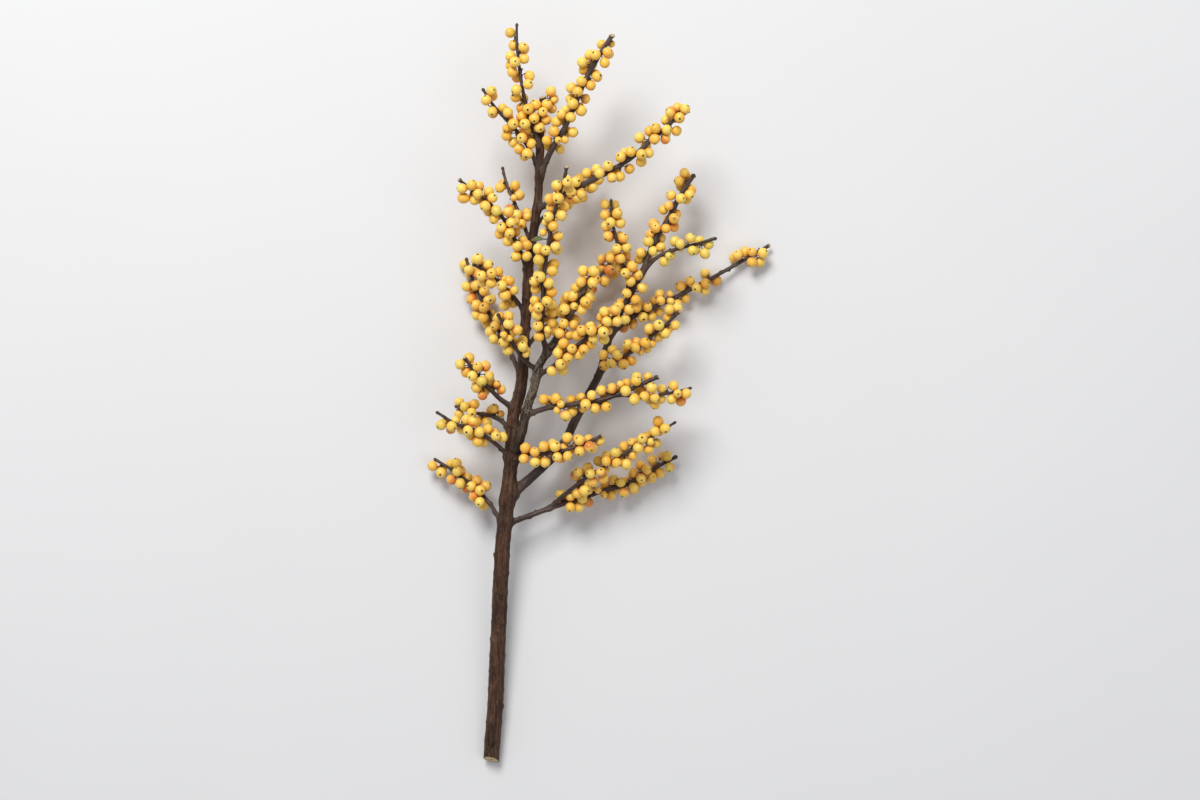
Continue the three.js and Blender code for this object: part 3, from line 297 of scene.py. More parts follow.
    -9771, -4302, 6062, 184, -10176, -3952, 6310, 178, -10611, -3611, 6517, 172, -11072, -3290, 6698, 165,
    -11559, -3005, 6870, 159, -12082, -2788, 7036, 153, -12630, -2624, 7184, 146, -13180, -2455, 7311, 140,
    -13714, -2226, 7412, 133, -14226, -1940, 7480, 127, -14725, -1628, 7526, 121, -15220, -1309, 7566, 114,
    -15554, -1103, 7598, 110,
  ]),
  ("right_tip_side", "right_fork", [
    4029, 12169, 4726, 200, 4392, 12570, 4966, 193, 4745, 12977, 5209, 186, 5130, 13361, 5442, 179, 5580,
    13684, 5648, 171, 6087, 13932, 5825, 164, 6622, 14132, 5978, 157, 7171, 14309, 6111, 150, 7725, 14480,
    6228, 145, 8291, 14623, 6325, 140, 8863, 14753, 6400, 135, 9436, 14894, 6451, 130, 10005, 15055, 6466,
    125, 10571, 15224, 6451, 120, 11138, 15394, 6436, 115,
  ]),
  ("right_inner", "right_fork", [
    2790, 9903, 4523, 190, 2722, 10431, 4797, 185, 2657, 10958, 5074, 180, 2570, 11492, 5330, 175, 2446,
    12033, 5553, 170, 2290, 12575, 5753, 166, 2120, 13120, 5935, 161, 1953, 13671, 6100, 156, 1801, 14230,
    6251, 151, 1654, 14795, 6383, 146, 1512, 15365, 6499, 141, 1380, 15940, 6601, 136, 1268, 16522, 6690,
    131, 1185, 17110, 6763, 126, 1132, 17704, 6815, 121, 1094, 18301, 6854, 116, 1042, 19095, 6909, 110,
  ]),
]

# Nodes that hold the fruit.
FRUIT_NODES = [
  "berries_back_crown", "berries_back_left", "berries_back_right", "berries_crown_front",
  "berries_crown_left", "berries_crown_left_low", "berries_crown_right", "berries_far_right",
  "berries_far_right_2", "berries_grey_fork", "berries_high_right", "berries_left_crown",
  "berries_left_front", "berries_left_high", "berries_left_low_front", "berries_left_mid",
  "berries_left_mid_low", "berries_left_upper", "berries_low_left", "berries_low_right_high",
  "berries_low_right_long", "berries_low_right_short", "berries_main_stem", "berries_right_fork",
  "berries_right_front", "berries_right_inner", "berries_right_long", "berries_right_long_spur",
  "berries_right_side", "berries_right_tip_side",
]

# Each cluster: shoot, node, then its leaf scar's x, y, z (0.01 mm) and the way it faces (1/1000).
CLUSTERS = [
  0, 22, -5907, 25268, 6300, -599, 3, -801, 0, 22, -6011, 26280, 6822, -911, 39, 410, 0, 22, -5641, 27266,
  7057, -191, 17, 981, 0, 22, -5113, 28422, 6856, 846, -71, 528, 1, 9, -3320, 6808, 9266, 299, -444, 845, 1,
  9, -2754, 8040, 8874, 263, 168, -950, 1, 9, -2663, 8904, 9728, -796, 310, 520, 1, 9, -1658, 9275, 9766,
  865, -488, 115, 1, 9, -1518, 10610, 9668, -215, 352, -911, 1, 9, -935, 11480, 10559, -379, 63, 923, 2, 23,
  1249, 7586, 3945, -632, 355, -688, 2, 23, 2059, 8444, 4720, 104, -185, 977, 2, 23, 2691, 9313, 4151, 512,
  -184, -839, 2, 23, 3167, 10337, 4921, 223, -226, 948, 2, 23, 3508, 11125, 4283, 54, 56, -997, 2, 23, 4414,
  13322, 4465, -106, 102, -989, 2, 23, 4669, 14256, 5170, -383, 104, 918, 2, 23, 5472, 14997, 4736, 769,
  -383, -512, 2, 23, 5432, 16155, 4962, -858, 508, 74, 2, 23, 6559, 16878, 5122, 744, -444, 500, 2, 23,
  6732, 17933, 4677, -251, 140, -958, 2, 23, 7247, 19017, 5234, -414, 233, 880, 2, 23, 8202, 19837, 4905,
  838, -526, -146, 2, 23, 8333, 20929, 4730, -669, 414, -618, 3, 12, -7468, 4664, 8854, 872, 485, 72, 3, 12,
  -8435, 5429, 9177, -796, -151, -586, 3, 12, -8622, 6421, 9984, 377, -134, 916, 3, 12, -9090, 7381, 9765,
  315, 336, -888, 4, 3, -5480, 6583, 9675, -79, -482, 873, 4, 3, -5198, 7870, 9749, 668, 279, -690, 4, 3,
  -5625, 8664, 10448, -948, -96, 302, 4, 3, -5046, 9594, 10773, 972, -93, 217, 4, 3, -5517, 10814, 10918,
  -787, 217, -577, 4, 3, -5128, 11632, 11603, 326, -263, 908, 4, 3, -5013, 12907, 11358, 227, 184, -956, 4,
  3, -5147, 13817, 11990, -813, 8, 582, 4, 3, -4505, 14734, 11998, 977, -144, -155, 4, 3, -4774, 15796,
  12066, -710, 257, -656, 4, 3, -4304, 16814, 12700, 218, -247, 944, 4, 3, -4018, 17838, 12445, 345, 110,
  -932, 4, 3, -3949, 18972, 13032, -740, 145, 656, 4, 3, -3225, 20022, 12912, 963, -259, -81, 5, 24, -4027,
  3286, 8847, 92, -692, 716, 5, 24, -3327, 4179, 8855, 296, 328, -897, 5, 24, -3031, 4603, 9661, -578, 108,
  809, 5, 24, -1690, 5166, 9925, 651, -693, -310, 5, 24, -1208, 6091, 10255, -436, 809, -394, 5, 24, -285,
  6312, 10824, 179, -594, 784, 5, 24, 486, 7068, 10640, 164, 138, -977, 5, 24, 1133, 7686, 11269, -296, 108,
  949, 6, 26, -4656, -367, 6838, -71, 933, -353, 6, 26, -3537, -727, 7509, -120, -621, 774, 6, 26, -2287,
  -410, 7181, 177, -34, -984, 6, 26, -1232, -48, 7887, -168, 629, 759, 6, 26, 57, -322, 7692, 250, -940,
  -231, 6, 26, 1034, 557, 7725, -254, 843, -474, 6, 26, 1938, 907, 7830, -322, 873, -366, 6, 26, 3173, 991,
  8225, 210, -497, 842, 6, 26, 4206, 1619, 7768, 74, -55, -996, 7, 27, 4425, 526, 7664, 213, 601, 770, 7,
  27, 5297, 267, 7070, -65, -853, -518, 7, 27, 6371, 848, 6793, -215, 973, -80, 7, 27, 7394, 639, 6563, 305,
  -887, 345, 8, 15, -10208, 1116, 6628, 476, 726, -496, 8, 15, -11056, 1313, 6965, -774, -555, -304, 8, 15,
  -11451, 2398, 7563, 557, 210, 803, 8, 15, -12371, 3282, 7400, -312, 32, -950, 9, 16, -10099, -1386, 4125,
  407, 896, -180, 9, 16, -11293, -1593, 3670, -29, -954, -299, 9, 16, -12415, -1012, 3559, -63, 614, 787, 9,
  16, -13450, -776, 2886, 205, -11, -979, 10, 13, -7568, 14150, 7502, 253, -289, 923, 10, 13, -7993, 15201,
  7340, 108, 429, -897, 10, 13, -8683, 15937, 8161, -645, -554, 526, 10, 13, -8754, 17027, 8402, 852, 492,
  178, 10, 13, -9731, 17559, 8510, -701, -350, -621, 10, 13, -10281, 18452, 9237, 288, -82, 954, 10, 13,
  -11226, 19313, 9095, 51, 427, -903, 10, 13, -12085, 19647, 9684, -241, -590, 771, 11, 11, -7375, 17084,
  5805, 176, 345, 922, 11, 11, -7731, 17828, 5071, 130, -214, -968, 11, 11, -8254, 18766, 5269, -564, 0,
  826, 11, 11, -8393, 19864, 4662, 874, 284, -394, 11, 11, -9198, 20810, 4445, -915, -307, -263, 12, 21,
  -6595, -5195, 6115, -394, -140, 908, 12, 21, -5468, -5251, 5998, 334, -454, -826, 12, 21, -4660, -4766,
  6571, -200, 932, 302, 12, 21, -3605, -5083, 6760, 172, -953, 250, 12, 21, -2724, -4428, 6655, -84, 592,
  -801, 12, 21, -1593, -4222, 7215, -20, -236, 972, 12, 21, -616, -3870, 6889, 290, -454, -842, 13, 20,
  -3546, -9747, 2618, -350, 686, -638, 13, 20, -2628, -9742, 2966, 213, -63, 975, 13, 20, -1609, -9471,
  2158, -132, -232, -964, 13, 20, -708, -8864, 2366, -244, 890, 385, 13, 20, 553, -8955, 2112, 357, -868,
  344, 13, 20, 1322, -8333, 1594, -271, 619, -737, 13, 20, 2404, -8318, 1868, 256, -261, 931, 13, 20, 3207,
  -7874, 1215, -69, -156, -985, 13, 20, 4004, -7178, 1542, -249, 583, 774, 13, 20, 5038, -7040, 1245, 498,
  -863, 82, 13, 20, 5690, -6199, 961, -342, 556, -758, 13, 20, 6668, -5902, 1370, 49, -79, 996, 14, 19,
  -1987, -8265, 4056, 639, -709, -298, 14, 19, -1509, -7294, 4311, -503, 817, -281, 14, 19, -367, -7005,
  4842, 227, -654, 721, 14, 19, 563, -6127, 4697, -55, 447, -893, 14, 19, 1340, -5690, 5325, -297, 144, 944,
  14, 19, 2356, -5336, 5151, 542, -661, -520, 14, 19, 3103, -4346, 5426, -520, 847, -113, 14, 19, 4269,
  -4022, 5790, 197, -519, 832, 14, 19, 5121, -3436, 5521, 234, -199, -952, 14, 19, 5837, -2761, 5950, -409,
  578, 707, 15, 7, 2760, 7436, 3303, 348, -784, -514, 15, 7, 3298, 8418, 3071, -516, 806, -290, 15, 7, 4459,
  8418, 3079, 480, -468, 742, 15, 7, 5276, 8960, 2204, -204, -268, -942, 15, 7, 6348, 9710, 2354, -72, 672,
  737, 15, 7, 7514, 9758, 1756, 371, -878, -304, 15, 7, 8476, 10883, 1535, -491, 853, -175, 15, 7, 9753,
  11071, 1617, 391, -481, 785, 15, 7, 10635, 11778, 977, -169, 45, -984, 15, 8, 13666, 13694, 926, -491,
  868, 72, 15, 8, 15071, 14040, 1023, 362, -572, 736, 16, 28, 1162, 3843, 4618, -610, 464, 642, 16, 28,
  2279, 3940, 4724, 456, -882, -120, 16, 28, 3089, 4912, 4983, -375, 839, -394, 16, 28, 3989, 5119, 5585,
  142, -568, 811, 16, 28, 4921, 5989, 5516, 426, -102, -899, 16, 28, 5430, 6747, 6120, -608, 549, 574, 16,
  28, 6472, 7055, 6222, 634, -772, 38, 16, 28, 7093, 8158, 6306, -456, 604, -654, 17, 6, -4409, 23828, 7380,
  301, 125, -945, 17, 6, -4269, 24674, 8222, -680, 184, 709, 17, 6, -3222, 25266, 8135, 850, -424, -312, 17,
  6, -3242, 26593, 8386, -774, 466, -428, 17, 6, -2510, 27219, 9046, 239, -313, 919, 17, 6, -2066, 28428,
  8646, 180, 101, -978, 17, 6, -1968, 29366, 9320, -719, 215, 661, 17, 6, -956, 30228, 9192, 873, -426,
  -239, 17, 6, -894, 31546, 9283, -793, 495, -355, 17, 6, 68, 32318, 9749, 392, -327, 860, 17, 6, 544,
  33232, 9283, 175, -41, -984, 18, 2, -4892, 7041, 4200, 399, -733, -551, 18, 2, -4509, 8049, 3932, -713,
  644, -278, 18, 2, -3453, 8413, 3870, 614, -322, 720, 18, 2, -2835, 9210, 3063, -332, -72, -941, 18, 2,
  -1866, 10049, 3192, 53, 332, 942, 18, 2, -1144, 10524, 2505, 180, -466, -866, 18, 2, -541, 11642, 2554,
  -647, 661, 379, 18, 2, 527, 12284, 2366, 772, -529, 351, 18, 2, 832, 13260, 2018, -434, 226, -872, 19, 1,
  -8881, 5626, 3367, 890, 273, -365, 19, 1, -9760, 6157, 2916, -699, -605, -382, 19, 1, -9878, 7272, 2790,
  496, 578, 648, 19, 1, -10420, 7857, 2018, 215, -255, -942, 19, 1, -11155, 8674, 2095, -803, -276, 528, 19,
  1, -11300, 9886, 1749, 798, 493, 346, 19, 1, -12103, 10537, 1352, -706, -431, -561, 19, 1, -12391, 11759,
  1567, 57, 130, 990, 19, 1, -12688, 12879, 1056, 283, 45, -958, 20, 17, -8373, 9714, 6911, -737, -208,
  -643, 20, 17, -8934, 10640, 7863, 346, -190, 919, 20, 17, -9692, 11418, 7784, 4, 508, -862, 20, 17,
  -10487, 11687, 8450, -298, -754, 586, 20, 17, -11293, 12633, 8582, 388, 879, -277, 21, 0, -4378, 17951,
  5418, 638, -758, 136, 21, 0, -3945, 18766, 4823, -594, 366, -716, 21, 0, -2949, 19224, 4891, 406, -25,
  914, 21, 0, -2319, 19737, 4156, -44, -357, -933, 21, 0, -1709, 20615, 4286, -444, 604, 662, 21, 0, -833,
  21121, 3936, 795, -580, -179, 22, 4, -6760, 26151, 7392, -885, -333, 324, 22, 4, -6537, 27255, 7495, 956,
  260, 136, 22, 4, -7266, 28314, 7410, -619, -48, -784, 22, 4, -7348, 29660, 8022, 122, -86, 989, 22, 4,
  -7420, 30695, 7667, 456, 151, -877, 22, 4, -7903, 31804, 8052, -953, -142, 268, 22, 4, -7582, 32834, 8150,
  948, 58, 314, 22, 4, -8037, 34213, 8065, -841, 23, -540, 23, 18, -11395, -9496, 2947, -737, -667, 114, 23,
  18, -11814, -8493, 2788, 279, 657, 700, 23, 18, -12711, -7988, 2010, 171, -279, -945, 23, 18, -13630,
  -7409, 2129, -502, -264, 824, 23, 18, -14177, -6652, 1559, 567, 652, -503, 23, 18, -15414, -6362, 1440,
  -493, -862, -117, 24, 10, -3531, 19400, 7522, 304, 197, -932, 24, 10, -2794, 19983, 8481, -490, 439, 754,
  24, 10, -1461, 20055, 8524, 446, -891, -87, 24, 10, -618, 21064, 8564, -252, 758, -602, 24, 10, 684,
  21391, 9211, -71, -93, 993, 24, 10, 1995, 21989, 8761, 292, -365, -884, 24, 10, 2577, 22848, 9223, -531,
  695, 485, 24, 10, 3835, 23184, 9195, 637, -732, 242, 24, 10, 4552, 24470, 8956, -463, 520, -718, 24, 10,
  5610, 25065, 9422, 154, -182, 971, 24, 10, 6645, 25982, 8906, 112, -159, -981, 24, 10, 7493, 26871, 9306,
  -304, 562, 769, 25, 5, -6924, 23662, 7119, -809, -517, 280, 25, 5, -7026, 24750, 7297, 794, 504, 339, 25,
  5, -7954, 25331, 7152, -483, -221, -847, 25, 5, -8579, 26245, 7782, 69, -127, 990, 25, 5, -9220, 27071,
  7471, 284, 432, -856, 25, 5, -10226, 27722, 7887, -705, -570, 421, 25, 5, -10555, 28942, 7790, 806, 516,
  -290, 26, 14, -10159, -3620, 6352, 586, 802, -114, 26, 14, -11379, -3353, 6620, -570, -632, -525, 26, 14,
  -12189, -2697, 7319, 303, 138, 943, 26, 14, -13193, -2362, 7096, -54, 398, -916, 26, 14, -14336, -2129,
  7514, -496, -854, 155, 27, 29, 6101, 13756, 6015, 56, -679, 732, 27, 29, 7186, 14417, 5891, 64, 439, -896,
  27, 29, 8445, 14686, 6582, -156, 86, 984, 27, 29, 9663, 14838, 6269, 167, -482, -860, 28, 25, 2609, 11996,
  5760, 613, -139, 778, 28, 25, 2133, 13201, 5693, 48, 315, -948, 28, 25, 1699, 13956, 6379, -608, -348,
  714, 28, 25, 1885, 14860, 6360, 959, 267, -97, 28, 25, 1157, 15900, 6559, -967, -176, -182, 28, 25, 1293,
  17102, 6956, 489, -35, 872, 28, 25, 1061, 18112, 6634, -214, 50, -976,
]

# Each berry: cluster, x, y, z, radius (0.01 mm).
BERRIES = [
  0, -5866, 24641, 5582, 545, 0, -5677, 25685, 5440, 523, 0, -6737, 24844, 6167, 520, 1, -6448, 25833, 6114,
  510, 1, -6616, 26676, 6643, 497, 1, -5739, 25796, 7637, 526, 2, -5047, 27977, 7408, 530, 2, -5413, 27226,
  7962, 474, 2, -5098, 26540, 7354, 494, 2, -6116, 27935, 7657, 556, 3, -4581, 27698, 6537, 494, 3, -4363,
  28441, 7129, 339, 3, -4654, 29258, 7110, 527, 3, -4381, 28637, 6286, 497, 4, -3407, 7167, 9927, 490, 4,
  -2493, 7060, 9398, 497, 4, -2877, 6111, 9151, 524, 4, -3789, 6271, 9669, 514, 5, -2343, 7568, 8507, 535,
  5, -2458, 8580, 8607, 377, 5, -3349, 8106, 8388, 515, 6, -3434, 8696, 9230, 513, 6, -3096, 9709, 9393,
  519, 6, -2568, 9698, 10281, 512, 6, -2425, 8791, 10440, 371, 6, -3325, 8493, 10316, 545, 7, -962, 9643,
  9769, 493, 7, -1313, 8989, 9030, 527, 7, -1737, 8437, 9999, 514, 7, -1370, 9206, 10600, 526, 8, -1345,
  10148, 9008, 495, 8, -1097, 11099, 9165, 484, 8, -1871, 11198, 9804, 364, 8, -2275, 10514, 9210, 522, 9,
  -1750, 11060, 10657, 503, 9, -1588, 12074, 10740, 524, 9, -606, 12014, 11158, 543, 9, -701, 10956, 11218,
  519, 10, 403, 7608, 3960, 502, 10, 966, 7149, 3263, 503, 10, 1601, 7924, 3376, 503, 10, 1017, 8401, 4168,
  514, 11, 2407, 7690, 4962, 501, 11, 1396, 8073, 5095, 535, 11, 1797, 9002, 5422, 513, 11, 2745, 8636,
  5145, 513, 12, 3478, 8878, 4439, 532, 12, 3139, 9802, 3692, 515, 12, 1991, 9268, 3628, 515, 13, 3989,
  10709, 5144, 507, 13, 3410, 9586, 5196, 501, 13, 2554, 10195, 5457, 490, 14, 2886, 10930, 3880, 511, 14,
  4153, 10736, 4162, 484, 14, 3820, 11937, 3853, 527, 15, 3782, 13517, 4286, 501, 15, 4331, 12677, 3955,
  373, 15, 4679, 13812, 3995, 485, 16, 4604, 15103, 5558, 528, 16, 5082, 14204, 5636, 491, 16, 3913, 14075,
  5114, 501, 17, 5817, 14588, 5089, 498, 17, 5783, 15525, 4163, 547, 17, 5503, 14549, 4267, 373, 18, 4859,
  15875, 4536, 504, 18, 5144, 16875, 4610, 535, 18, 5325, 16447, 5561, 503, 19, 7100, 16579, 4731, 512, 19,
  6302, 16351, 5621, 475, 19, 7071, 17303, 5570, 528, 20, 6840, 18552, 4366, 391, 20, 6083, 18224, 4702,
  498, 20, 6555, 17264, 4220, 496, 20, 7328, 17861, 4147, 481, 21, 7696, 19200, 5817, 510, 21, 6574, 18542,
  5475, 466, 21, 6778, 19537, 5394, 505, 22, 8739, 20144, 4449, 515, 22, 8269, 19226, 4524, 513, 22, 8535,
  19605, 5424, 496, 23, 7530, 20934, 5033, 498, 23, 7807, 20486, 4118, 526, 23, 8447, 21290, 3916, 519, 23,
  8077, 21727, 4762, 500, 24, -7321, 5525, 8602, 533, 24, -7033, 4601, 8186, 514, 24, -6968, 4330, 9036,
  378, 24, -7257, 5004, 9524, 501, 25, -9082, 5416, 9600, 482, 25, -8680, 4673, 8918, 511, 25, -8329, 5442,
  8301, 517, 25, -8794, 6087, 8945, 498, 26, -7768, 6561, 10063, 514, 26, -8510, 5792, 10084, 351, 26,
  -9006, 6097, 10496, 360, 26, -8570, 7098, 10461, 516, 27, -8667, 7048, 9171, 496, 27, -8582, 7860, 9764,
  511, 27, -9494, 7735, 9245, 517, 28, -4906, 6591, 9967, 382, 28, -5750, 5930, 9763, 514, 28, -5818, 6935,
  10294, 524, 29, -4426, 8226, 9928, 510, 29, -5269, 8655, 9454, 518, 29, -5356, 7755, 8952, 515, 29, -4544,
  7260, 9454, 531, 30, -6084, 9286, 10625, 482, 30, -5742, 8623, 11297, 497, 30, -5903, 7918, 10600, 506,
  30, -6191, 8615, 9904, 507, 31, -4937, 9189, 11568, 522, 31, -4499, 10073, 11227, 508, 31, -4662, 10004,
  10218, 497, 31, -4581, 9001, 10600, 525, 32, -5313, 10798, 10080, 534, 32, -5739, 11621, 10697, 532, 32,
  -6147, 11070, 11450, 484, 32, -6035, 10360, 10644, 478, 33, -4420, 11999, 11770, 520, 33, -4771, 10880,
  11801, 517, 33, -5550, 11450, 12154, 508, 34, -5167, 13741, 11082, 534, 34, -5323, 12608, 10703, 538, 34,
  -4324, 12721, 11053, 497, 35, -5685, 13012, 12048, 527, 35, -5737, 14069, 11931, 536, 35, -5023, 13873,
  12758, 497, 36, -3875, 15248, 12283, 497, 36, -4237, 15076, 11323, 518, 36, -4033, 14045, 11471, 541, 36,
  -4119, 14225, 12522, 496, 37, -5036, 16498, 12316, 386, 37, -5288, 15574, 11982, 374, 37, -4652, 16015,
  11310, 507, 38, -3559, 17083, 12994, 520, 38, -4314, 16085, 12994, 491, 38, -4774, 16958, 13024, 494, 39,
  -3345, 17908, 12410, 509, 39, -4513, 17866, 11946, 521, 40, -3999, 19838, 13437, 513, 40, -3867, 18648,
  13676, 524, 40, -4658, 18639, 12646, 526, 41, -3032, 20109, 13556, 493, 41, -2860, 19643, 12438, 478, 42,
  -3489, 2788, 8786, 502, 42, -4532, 2711, 8948, 513, 42, -3695, 3362, 9626, 534, 43, -3676, 4760, 8629,
  536, 43, -3356, 3645, 8225, 525, 43, -2681, 4416, 8582, 508, 44, -3941, 4419, 9622, 541, 44, -3417, 5291,
  9952, 527, 44, -2623, 4810, 10386, 472, 44, -3010, 3970, 10097, 494, 45, -1510, 4726, 10650, 502, 45,
  -789, 5227, 10145, 508, 45, -1111, 5474, 9203, 516, 45, -1884, 4827, 9049, 502, 45, -1980, 4252, 9884,
  511, 46, -1697, 6502, 11008, 527, 46, -2151, 6025, 10174, 489, 46, -1574, 6347, 9438, 498, 46, -586, 6432,
  9700, 524, 46, -900, 6914, 10534, 486, 47, -810, 6491, 11598, 534, 47, 309, 6329, 11518, 552, 47, 388,
  5689, 10686, 499, 47, -628, 5706, 10989, 474, 48, 1250, 7457, 10344, 539, 48, 179, 7744, 10390, 530, 48,
  108, 6810, 10131, 371, 48, 770, 6460, 10375, 411, 49, 640, 7308, 11667, 490, 49, 420, 8209, 11292, 507,
  49, 1430, 8365, 11739, 527, 49, 1624, 7308, 11738, 494, 50, -4192, 134, 7440, 525, 50, -5352, 60, 6969,
  514, 50, -4919, -79, 6030, 527, 50, -3957, -124, 6427, 512, 51, -4060, -988, 7678, 372, 51, -3700, -402,
  7986, 380, 51, -3243, -1482, 7539, 555, 52, -2669, -1070, 6718, 523, 52, -1579, -744, 6769, 495, 52,
  -1814, 222, 6964, 498, 52, -2744, -4, 6546, 508, 53, -790, 434, 8216, 479, 53, -1364, -409, 8515, 536, 53,
  -1746, 320, 7836, 377, 54, -367, -812, 7045, 482, 54, -482, -806, 8097, 512, 54, 585, -675, 8130, 488, 54,
  579, -543, 7144, 504, 55, 1381, 891, 7174, 476, 55, 128, 913, 7861, 523, 55, 477, 480, 6946, 541, 56,
  2537, 1595, 7759, 475, 56, 1949, 1503, 8374, 377, 56, 1137, 1098, 8139, 538, 56, 2348, 1043, 6940, 528,
  57, 3393, 1818, 8668, 503, 57, 3229, 77, 8615, 536, 57, 2404, 851, 8817, 528, 58, 4874, 1177, 7186, 530,
  58, 4565, 2175, 7250, 476, 58, 3453, 2155, 7704, 516, 58, 3830, 927, 7149, 542, 59, 4198, 366, 8245, 496,
  59, 4870, 1157, 8302, 542, 59, 5147, 197, 8130, 470, 60, 5217, -413, 7387, 492, 60, 5787, 102, 6398, 491,
  60, 4757, 74, 6645, 506, 61, 6976, 1369, 6819, 496, 61, 5876, 1055, 6558, 474, 62, 8196, 596, 6771, 516,
  62, 7709, -86, 6096, 522, 62, 6807, 69, 6546, 496, 62, 7359, 627, 7207, 420, 63, -9405, 985, 6394, 484,
  63, -9803, 1513, 6960, 385, 63, -10522, 1846, 6480, 532, 63, -10177, 1200, 5978, 348, 64, -11148, 445,
  7076, 494, 64, -10947, 874, 6186, 511, 64, -11704, 1521, 6507, 533, 64, -11706, 1188, 7524, 535, 65,
  -12041, 2268, 8313, 503, 65, -11537, 3129, 8181, 501, 65, -10889, 3212, 7354, 551, 65, -10496, 2270, 7637,
  506, 65, -11166, 1764, 8211, 509, 66, -12447, 3971, 6865, 545, 66, -13251, 3381, 7407, 525, 66, -12688,
  2646, 6885, 536, 66, -11785, 3147, 6813, 497, 67, -10155, -808, 4525, 490, 67, -10432, -1006, 3412, 532,
  67, -9540, -1340, 4043, 385, 68, -10850, -2154, 3816, 501, 68, -11243, -1592, 3034, 532, 68, -11885,
  -2124, 3916, 537, 69, -12079, -394, 3533, 511, 69, -12306, -1220, 4306, 532, 69, -13010, -645, 3817, 492,
  70, -12626, -633, 2697, 511, 70, -13581, -229, 2399, 490, 70, -13600, -1374, 2498, 514, 71, -6946, 13601,
  7669, 496, 71, -7961, 13557, 7902, 516, 71, -7809, 14512, 8271, 518, 71, -6918, 14656, 7752, 515, 72,
  -8019, 15928, 7162, 505, 72, -8547, 15100, 7047, 480, 72, -7332, 15125, 6927, 515, 73, -8481, 15697, 8988,
  494, 73, -8744, 15036, 8024, 513, 73, -9498, 15726, 7844, 522, 73, -9271, 16279, 8706, 525, 74, -8616,
  17695, 8967, 532, 74, -8624, 17697, 7916, 478, 74, -8055, 16900, 8118, 478, 74, -8357, 16688, 9028, 500,
  75, -10520, 17780, 8417, 484, 75, -9993, 17066, 8836, 495, 75, -9570, 17503, 7826, 486, 76, -10784, 18192,
  9816, 534, 76, -10095, 18980, 9630, 498, 76, -9740, 17811, 9491, 523, 77, -11400, 20122, 8946, 511, 77,
  -11903, 19311, 8588, 492, 77, -11017, 18818, 8473, 526, 77, -10471, 19595, 8908, 516, 78, -11781, 18783,
  9417, 494, 78, -12814, 18971, 9476, 556, 78, -12937, 19824, 10090, 500, 78, -12014, 20121, 10402, 518, 78,
  -11432, 19294, 10290, 498, 79, -6916, 17488, 5858, 509, 79, -7468, 16718, 6525, 504, 79, -7935, 17599,
  6140, 543, 80, -8208, 18145, 4542, 529, 80, -7809, 17157, 4666, 537, 80, -7002, 17871, 4899, 522, 81,
  -8198, 19291, 5558, 356, 81, -8655, 18215, 5457, 487, 82, -8437, 20082, 3844, 523, 82, -7714, 19576, 4880,
  519, 82, -8117, 20527, 4745, 493, 83, -9292, 20719, 3730, 545, 83, -9584, 20301, 4920, 509, 84, -6200,
  -4926, 6710, 490, 84, -6187, -5919, 6609, 507, 84, -7236, -5585, 6325, 491, 84, -7101, -4558, 6364, 541,
  85, -4992, -4880, 5574, 522, 85, -5852, -5377, 5394, 486, 85, -5224, -5934, 6210, 531, 86, -4511, -4170,
  6108, 486, 86, -4266, -4399, 7139, 563, 86, -5339, -4412, 6904, 530, 87, -3733, -5552, 6268, 504, 87,
  -4045, -5430, 7237, 492, 87, -3056, -5331, 7151, 500, 88, -2376, -4669, 5950, 517, 88, -2070, -3729, 6601,
  498, 88, -3097, -3598, 6588, 535, 88, -3427, -4608, 6053, 506, 89, -1936, -3812, 7611, 518, 89, -973,
  -4408, 7721, 546, 89, -1914, -4850, 7532, 509, 90, -712, -4583, 6717, 501, 90, 0, -3864, 6502, 511, 90,
  -1062, -3745, 6312, 488, 91, -3178, -9338, 2132, 521, 91, -3774, -9071, 2920, 501, 91, -4033, -9956, 2173,
  502, 92, -1719, -9457, 3275, 541, 92, -2035, -10361, 2864, 499, 92, -2875, -10325, 3525, 498, 92, -2851,
  -9276, 3264, 500, 93, -1168, -9892, 1704, 528, 93, -1681, -8808, 1666, 512, 93, -2191, -9986, 1924, 520,
  94, -1172, -8681, 2764, 489, 94, -880, -8181, 1920, 532, 94, -205, -8683, 2765, 374, 95, 382, -9148, 2716,
  372, 95, 1043, -9255, 1636, 501, 96, 1477, -8556, 1029, 516, 96, 1273, -7675, 1795, 506, 96, 499, -8310,
  1206, 506, 97, 3222, -8486, 1948, 506, 97, 2315, -8953, 2232, 504, 97, 2014, -7961, 2402, 488, 98, 2468,
  -8020, 814, 543, 98, 3289, -8685, 939, 519, 98, 4019, -7943, 843, 524, 98, 3227, -7281, 697, 516, 99,
  3913, -6333, 1404, 506, 99, 4518, -6730, 2133, 519, 99, 3950, -7562, 2256, 479, 99, 3255, -7044, 1694,
  504, 100, 5845, -7110, 1226, 515, 100, 4995, -7607, 877, 506, 100, 5065, -7370, 1807, 382, 101, 5458,
  -6637, 424, 489, 101, 6102, -5494, 781, 498, 101, 5063, -5795, 1048, 498, 102, 6740, -6514, 1842, 493,
  102, 6492, -5434, 1731, 526, 103, -1170, -8117, 4109, 408, 103, -1831, -8150, 3426, 540, 103, -2196,
  -8987, 4123, 494, 103, -1477, -8685, 4813, 545, 104, -1175, -6478, 4663, 528, 104, -2092, -6903, 4778,
  488, 104, -2298, -7253, 3826, 545, 104, -1242, -7008, 3646, 510, 105, -912, -7034, 5485, 494, 105, 60,
  -6869, 5509, 477, 105, 317, -7508, 4803, 508, 105, -694, -7805, 4852, 525, 106, 1264, -6041, 4316, 513,
  106, 616, -5340, 4705, 498, 106, -155, -5851, 4282, 513, 106, 432, -6725, 4148, 514, 107, 1598, -6002,
  5919, 490, 107, 604, -5841, 5582, 507, 107, 1486, -5022, 5666, 522, 108, 3139, -5326, 4966, 492, 108,
